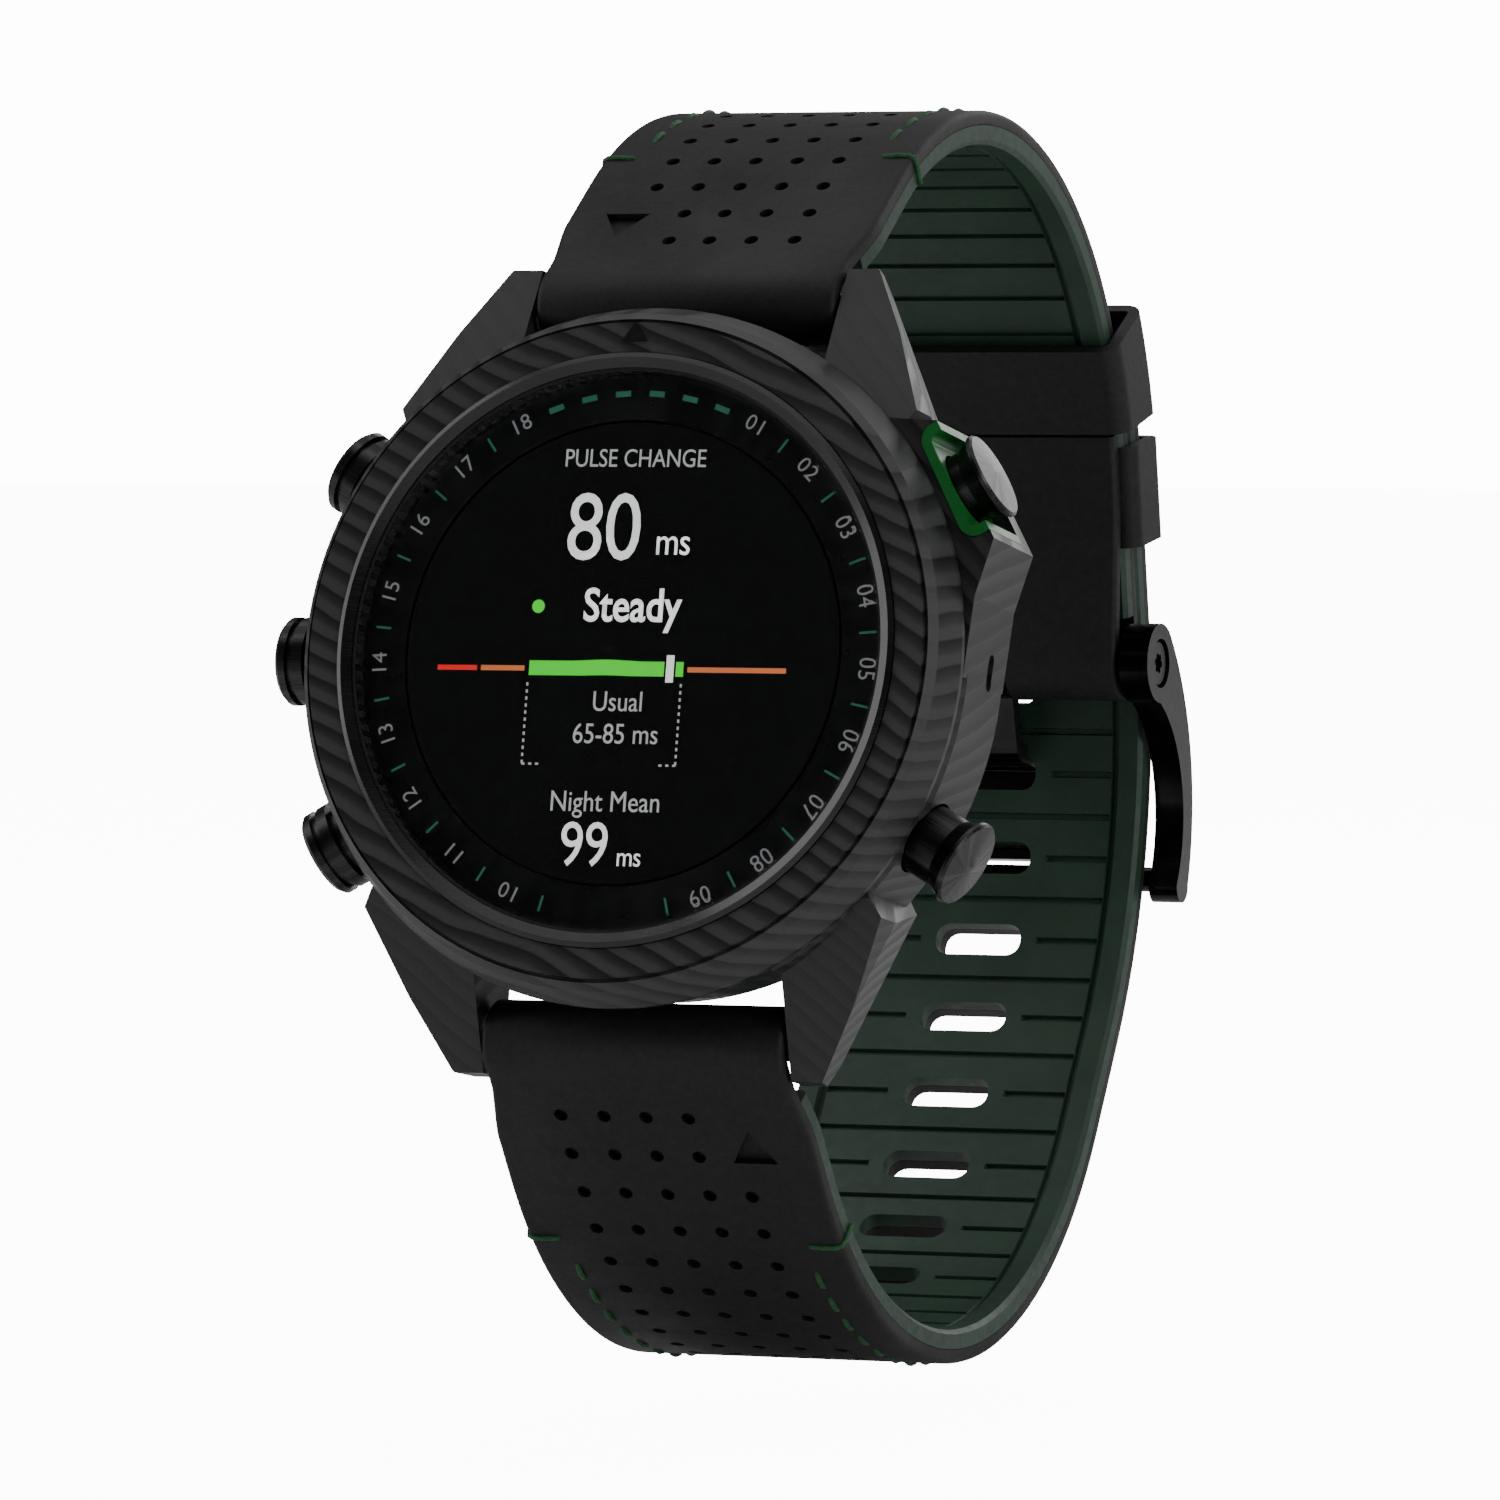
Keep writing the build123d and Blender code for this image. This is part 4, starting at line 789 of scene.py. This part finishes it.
short_route, long_route = route(short_leather), route(long_leather)
print("short strap", round(short_route[-1][0], 1), "mm, long strap", round(long_route[-1][0], 1))

# %% [markdown]
# A layer is swept along its route from one cross-section. The leather's outer corners are rounded, as a
# pared and painted edge is. The lining is moulded: a smooth border, a field a little lower inside it, and
# thin grooves across that let sweat and air move. The grooves are in the section itself, so they have depth.

# %% Sweeping a layer
clear_of_lugs = 30


def sweep_layer(name, stations, section):
    """Closed solid along a route. section(distance, half) lists the (x, out) corners at one station."""
    build = bmesh.new()
    rings = []
    for distance, spot, angle in stations:
        corners = section(distance, width_at(spot[1]) if spot[0] < clear_of_lugs else half_width)
        rings.append([build.verts.new(on_strap((spot, angle), x, out)) for x, out in corners])
    for ring, after in zip(rings, rings[1:]):
        for k in range(len(ring)):
            step = (k + 1) % len(ring)
            build.faces.new((ring[k], ring[step], after[step], after[k]))
    build.faces.new(rings[0][::-1])
    build.faces.new(rings[-1])
    bmesh.ops.recalc_face_normals(build, faces=build.faces)
    return drawn_piece(name, build)


def leather_section(distance, half):
    """Rounded outer corners and a flat seam side."""
    corner, top = 0.38, leather_depth
    rounding = [(sin(t) * corner, (1 - cos(t)) * corner) for t in (pi / 2, 1.05, 0.52, 0.0)]
    right = [(half - corner + a, top - b) for a, b in rounding]
    left = [(-x, out) for x, out in reversed(right)]
    return [(half, 0.0), *right, (0.0, top), *left, (-half, 0.0)]


field_edge, field_drop, groove_drop, groove_half = 9.7, 0.22, 0.32, 0.2


def lining_section_for(grooves):
    """Section of a lining whose field has grooves at the listed (distance, clear half width in the middle)."""

    def section(distance, half):
        inner = -lining_depth
        nearest = min(grooves, key=lambda groove: abs(groove[0] - distance)) if grooves else (-99.0, 0.0)
        in_groove = abs(nearest[0] - distance) < groove_half
        low = inner + field_drop
        right = [(half, -0.04), (half, inner + 0.32), (half - 0.3, inner), (field_edge + 0.15, inner)]
        right += [(field_edge, low + groove_drop * 0.8), (field_edge - 0.3, low + groove_drop * 0.8)]
        right += [(field_edge - 0.45, low)]
        clear = max(nearest[1], 0.2)
        deep = low + groove_drop if in_groove else low
        right += [(field_edge - 0.5, deep), (clear + 0.1, deep), (clear, low)]
        left = [(-x, out) for x, out in reversed(right)]
        if nearest[1] < 0.3 and in_groove:
            right[-1], left[0] = (clear, deep), (-clear, deep)
        return right + left

    return section


def with_grooves(stations, grooves):
    """Stations of a route with four extra ones at each groove's edges."""
    extra = []
    for distance, clear in grooves:
        for shift in (-groove_half - 0.06, -groove_half + 0.01, groove_half - 0.01, groove_half + 0.06):
            spot, angle = station_at(stations, distance + shift)
            extra.append((distance + shift, spot, angle))
    kept = [s for s in stations if all(abs(s[0] - g[0]) > groove_half + 0.1 for g in grooves)]
    return sorted(kept + extra)


def carve(piece, cutter):
    """Cut one mesh out of another and keep the result as the piece's own mesh."""
    cut = piece.modifiers.new("cut", "BOOLEAN")
    cut.object = cutter
    cut.solver = "EXACT"
    bpy.context.view_layer.update()
    carved = bpy.data.meshes.new_from_object(piece.evaluated_get(bpy.context.evaluated_depsgraph_get()))
    piece.modifiers.clear()
    old, piece.data = piece.data, carved
    bpy.data.meshes.remove(old)
    bpy.data.objects.remove(cutter)


def prisms(name, shapes):
    """One cutter from many prisms: each has corners in plan, a station, an x, and a low and high height."""
    build = bmesh.new()
    for outline, station, x, low, high in shapes:
        (back, up), angle = station
        run = radians(angle + 90)
        floor_ring, roof_ring = [], []
        for dx, along in outline:
            spot = ((back + along * cos(run), up + along * sin(run)), angle)
            floor_ring.append(build.verts.new(on_strap(spot, x + dx, low)))
            roof_ring.append(build.verts.new(on_strap(spot, x + dx, high)))
        build.faces.new(floor_ring)
        build.faces.new(roof_ring[::-1])
        for k in range(len(outline)):
            step = (k + 1) % len(outline)
            build.faces.new((floor_ring[k], roof_ring[k], roof_ring[step], floor_ring[step]))
    bmesh.ops.recalc_face_normals(build, faces=build.faces)
    return drawn_piece(name, build)


def ring_outline(radius, sides=14):
    """Corners of a small round hole."""
    return [(radius * cos(2 * pi * k / sides), radius * sin(2 * pi * k / sides)) for k in range(sides)]


def slot_outline(length, height, corner):
    """Corners of a rounded slot, longer across the strap."""
    outline = []
    for turned, sx, sy in ((0, 1, 1), (90, -1, 1), (180, -1, -1), (270, 1, -1)):
        for k in range(5):
            t = radians(turned + 22.5 * k)
            x = sx * (length / 2 - corner) + corner * cos(t)
            outline.append((x, sy * (height / 2 - corner) + corner * sin(t)))
    return outline


# %% [markdown]
# Holes and slots are real cuts, because light shows through the slots and dark gathers in the holes. A punch
# goes through leather and lining together, so one list of shapes makes the cutters for every layer.
# The slots are spaced from the one that the tang goes through, so the tang always has a slot to sit in.

# %% Adjustment slots
slot_pitch = 6.45
lining_route = route(long_lining)
lining_shift = long_route[-1][0] - lining_route[-1][0]
tang_up = 3.9
tang_angle = degrees(asin((tang_up - heel[1]) / heel_radius)) + 360
to_heel = next(s[0] for s in long_route if abs(s[2] - heel_run) < 0.01 and s[1][0] > 50)
tang_distance = to_heel + heel_radius * radians(tang_angle - heel_run)
slot_distances = [tang_distance - step * slot_pitch for step in range(-2, 9)]
slot_length, slot_height, slot_corner = 6.6, 2.4, 1.0
print("slots", len(slot_distances), "from", round(slot_distances[-1], 1), "to", round(slot_distances[0], 1))

# %% [markdown]
# The leather is perforated in rows of five, so it bends and breathes. The holes are blind: they stop in the
# leather. The first two rows have four holes and leave room for a small pressed triangle. Both straps
# share one helper, which counts its rows away from the point where the strap leaves its bar.

# %% Perforations and pressed triangles
row_pitch, first_row, hole_radius = 3.33, 4.05, 0.5
hole_floor, press_floor, cut_roof = 0.3, 0.45, 1.6
full_row = [-6.2, -3.1, 0.0, 3.1, 6.2]


def hole_rows(stations, start, direction, first_columns, rows=14):
    """Blind holes in the leather: five to a row, with four in the first two rows beside a pressed triangle."""
    shapes = []
    for row in range(rows):
        station = station_at(stations, start + direction * (first_row + row * row_pitch))
        for x in first_columns if row < 2 else full_row:
            shapes.append((ring_outline(hole_radius), station, x, hole_floor, cut_roof))
    return shapes


upper_tangent = short_route[-1][0] - wrap * radians(wrap_turn)
lower_tangent = next(s[0] for s in long_route if abs(s[2] - lower_run) < 0.01)
upper_holes = hole_rows(short_route, upper_tangent, -1, [-3.0, 0.0, 3.1, 6.3])
lower_holes = hole_rows(long_route, lower_tangent, 1, [-6.3, -3.1, 0.0, 3.1])
triangle_outline = [(-1.65, -1.4), (1.65, -1.4), (0.0, 1.4)]
beside_rows = 7.2
upper_press = station_at(short_route, upper_tangent - 6.0)
lower_press = station_at(long_route, lower_tangent + 6.4)
pressed_low = [(-x, -along) for x, along in triangle_outline]
upper_holes.append((triangle_outline, upper_press, -beside_rows, press_floor, cut_roof))
lower_holes.append((pressed_low, lower_press, beside_rows, press_floor, cut_roof))
print("blind cuts", len(upper_holes), "upper and", len(lower_holes), "lower")

# %% [markdown]
# Now the leather is made: each layer is swept along its route, and the cutters go through it. The short
# strap is also notched where it turns round the bolt, to let the tang through.

# %% Leather layers
short_skin = sweep_layer("short_strap_leather_skin", short_route, leather_section)
tang_notch = [(slot_outline(6.0, 6.6, 0.3), (bolt, bolt_run), 0.0, -3.2, 3.4)]
carve(short_skin, prisms("upper_cutter", upper_holes))
carve(short_skin, prisms("notch_cutter", tang_notch))
long_skin = sweep_layer("long_strap_leather_skin", long_route, leather_section)
slot_through = 2.4
slot_shapes = []
for distance in slot_distances:
    punched = slot_outline(slot_length, slot_height, slot_corner)
    slot_shapes.append((punched, station_at(long_route, distance), 0.0, -slot_through, slot_through))
carve(long_skin, prisms("lower_cutter", lower_holes))
carve(long_skin, prisms("slot_cutter", slot_shapes))
print("leather faces", len(short_skin.data.polygons), "and", len(long_skin.data.polygons))

# %% [markdown]
# The lining's grooves are placed by distance along the strap. On the long strap they share the slots' pitch,
# two to a slot, and a groove that meets a slot stops short of it on each side.

# %% Lining layers
groove_pitch, first_groove, groove_end_room, slot_clear = 3.2, 6.0, 10, 4.5
short_lining_route = route(short_lining)
groove_count = int((short_lining_route[-1][0] - groove_end_room) / groove_pitch)
short_grooves = [(first_groove + k * groove_pitch, 0.0) for k in range(groove_count)]
short_field = sweep_layer(
    "short_strap_lining_skin", with_grooves(short_lining_route, short_grooves), lining_section_for(short_grooves)
)
long_grooves = []
for k in range(-2, 24):
    distance = tang_distance - lining_shift - k * slot_pitch / 2
    if 4 < distance < lining_route[-1][0] - 4:
        beside_slot = k % 2 == 0 and -4 <= k <= 16
        long_grooves.append((distance, slot_clear if beside_slot else 0.0))
for extra_step in (-4, -3):
    distance = tang_distance - lining_shift - extra_step * slot_pitch / 2
    long_grooves.append((distance, slot_clear if extra_step == -4 else 0.0))
long_grooves.sort()
long_field = sweep_layer(
    "long_strap_lining_skin", with_grooves(lining_route, long_grooves), lining_section_for(long_grooves)
)
carve(long_field, prisms("lining_cutter", slot_shapes))
print("grooves", len(short_grooves), len(long_grooves), "faces", len(long_field.data.polygons))

# %% [markdown]
# The leather is black, with a fine grain that only shows where light skims it, and slow changes of sheen from
# handling. Cells make its pores and a finer noise its creases. The lining is green rubber with a dull skin.

# %% Leather and lining finishes
hide, hide_tree, hide_shader = new_finish("black_leather", (0.011, 0.011, 0.0112), 0.56)
hide_shader.inputs["Specular IOR Level"].default_value = 0.32
hide_at = dial_coordinates(hide_tree)
pore_cells = add_node(hide_tree, "TexVoronoi", {0: hide_at, "Scale": 2.6}, feature="DISTANCE_TO_EDGE")
pores = pore_cells.outputs[0]
creases = noise(hide_tree, hide_at, 1.5, 6.0, 0.6)
handled = noise(hide_tree, hide_at, 0.09, 2.0)
hide_tree.links.new(ramp(hide_tree, handled, [(0.3, 0.5), (0.7, 0.66)]), hide_shader.inputs["Roughness"])
hide_tint = ramp(hide_tree, creases, [(0.3, (0.008, 0.008, 0.008)), (0.7, (0.015, 0.015, 0.0155))])
hide_tree.links.new(hide_tint, hide_shader.inputs["Base Color"])
deep_pores, fine_creases = sums(hide_tree, "MULTIPLY", pores, 0.6), sums(hide_tree, "MULTIPLY", creases, 0.7)
grain = sums(hide_tree, "ADD", deep_pores, fine_creases)
bump(hide_tree, hide_shader, grain, 0.35, 0.00008)
green_rubber = plain_moulding("green_lining", (0.013, 0.042, 0.023), 0.5, 3.0, 0.00003)
for piece, finish in ((short_skin, hide), (long_skin, hide), (short_field, green_rubber), (long_field, green_rubber)):
    piece.data.materials.clear()
    piece.data.materials.append(finish)
print("strap finishes", hide.name, green_rubber.name)

# %% [markdown]
# The frame's straps are each in two stiff halves that turn at a joint. A real strap has no joint there, so the
# finer strap is one piece. Each finer layer then stands for the two plain halves of that layer, which are
# hidden. The keepers keep the frame's own shape and are dressed in the same leather.


def finish_strap(piece, front_body, joint, slot, *nodes):
    """Smooth a strap layer, bake its place into its mesh, and hide the frame's plain layers that it stands for."""
    piece.data.polygons.foreach_set("use_smooth", [True] * len(piece.data.polygons))
    piece.data.set_sharp_from_angle(angle=radians(35))
    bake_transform(piece)
    if nodes:
        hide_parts(*nodes)


for skin, field, strap, body, joint in (
    (short_skin, short_field, "short_strap", "upper_strap", "crown_flex"),
    (long_skin, long_field, "long_strap", "lower_strap", "foot_flex"),
):
    for piece, layer in ((skin, "leather"), (field, "lining")):
        finish_strap(piece, body, joint, layer, f"{strap}_front_{layer}", f"{strap}_rear_{layer}")
for name in ("free_keeper", "fixed_keeper"):
    dress(name, hide)

# %% [markdown]
# Each strap is sewn with green thread: a long stitch wraps each edge, and a row of short stitches runs beside
# each edge. A thread is a raised round cord whose ends go down into the leather, so it throws a small shadow.
# It is sewn through the strap.

# %% Stitching
thread_radius = 0.2
thread, thread_tree, thread_shader = new_finish("green_thread", (0.008, 0.085, 0.022), 0.62)
twist = noise(thread_tree, dial_coordinates(thread_tree), 3.4, 2.0)
thread_tint = ramp(thread_tree, twist, [(0.3, (0.005, 0.05, 0.013)), (0.7, (0.012, 0.12, 0.03))])
thread_tree.links.new(thread_tint, thread_shader.inputs["Base Color"])
bump(thread_tree, thread_shader, twist, 0.5, 0.00006)


def edge_stitch(stations, distance, side):
    """Points of a stitch that crosses the strap's edge and goes down its side."""
    station = station_at(stations, distance)
    over_edge = [(9.3, -0.2), (9.4, 0.02), (10.3, 0.08), (11.2, 0.06), (11.55, -0.12)]
    spots = [*over_edge, (11.68, -0.6), (11.68, -2.1)]
    return [on_strap(station, side * x, leather_depth + rise) for x, rise in spots]


def short_stitch(stations, distance, x, length=1.9):
    """Points of a stitch that runs along the strap, with both ends sunk in the leather."""
    spots = []
    for k in range(7):
        rise = 0.26 * max(sin(pi * k / 6), 0.0) ** 0.5 - 0.2
        spots.append(on_strap(station_at(stations, distance + (k / 6 - 0.5) * length), x, leather_depth + rise))
    return spots


def sew(name, runs):
    """One mesh of round threads, each along its own run of points."""
    cord = bpy.data.curves.new(name, "CURVE")
    cord.dimensions = "3D"
    cord.bevel_depth = thread_radius * MM
    cord.bevel_resolution = 2
    cord.use_fill_caps = True
    for run in runs:
        line = cord.splines.new("POLY")
        line.points.add(len(run) - 1)
        for point, spot in zip(line.points, run):
            point.co = (*spot, 1.0)
    guide = in_scene(f"{name}_guide", cord)
    bpy.context.view_layer.update()
    sewn = bpy.data.meshes.new_from_object(guide.evaluated_get(bpy.context.evaluated_depsgraph_get()))
    bpy.data.objects.remove(guide)
    piece = in_scene(name, sewn)
    sewn.materials.clear()
    sewn.materials.append(thread)
    return piece


upper_sewing = [edge_stitch(short_route, upper_tangent - 14.5, side) for side in (-1, 1)]
lower_sewing = [edge_stitch(long_route, lower_tangent + 15.1, side) for side in (-1, 1)]
upper_start, lower_start = upper_tangent - 18.2, lower_tangent + 18.8
stitch_pitch, stitches_a_row, row_x = 3.0, 11, 8.9
for side in (-1, 1):
    for along in (stitch_pitch * step for step in range(stitches_a_row)):
        upper_sewing.append(short_stitch(short_route, upper_start - along, row_x * side))
        lower_sewing.append(short_stitch(long_route, lower_start + along, row_x * side))
finish_strap(sew("upper_stitching", upper_sewing), "upper_strap", "crown_flex", "leather")
finish_strap(sew("lower_stitching", lower_sewing), "lower_strap", "foot_flex", "leather")
print("stitches", len(upper_sewing) + len(lower_sewing))
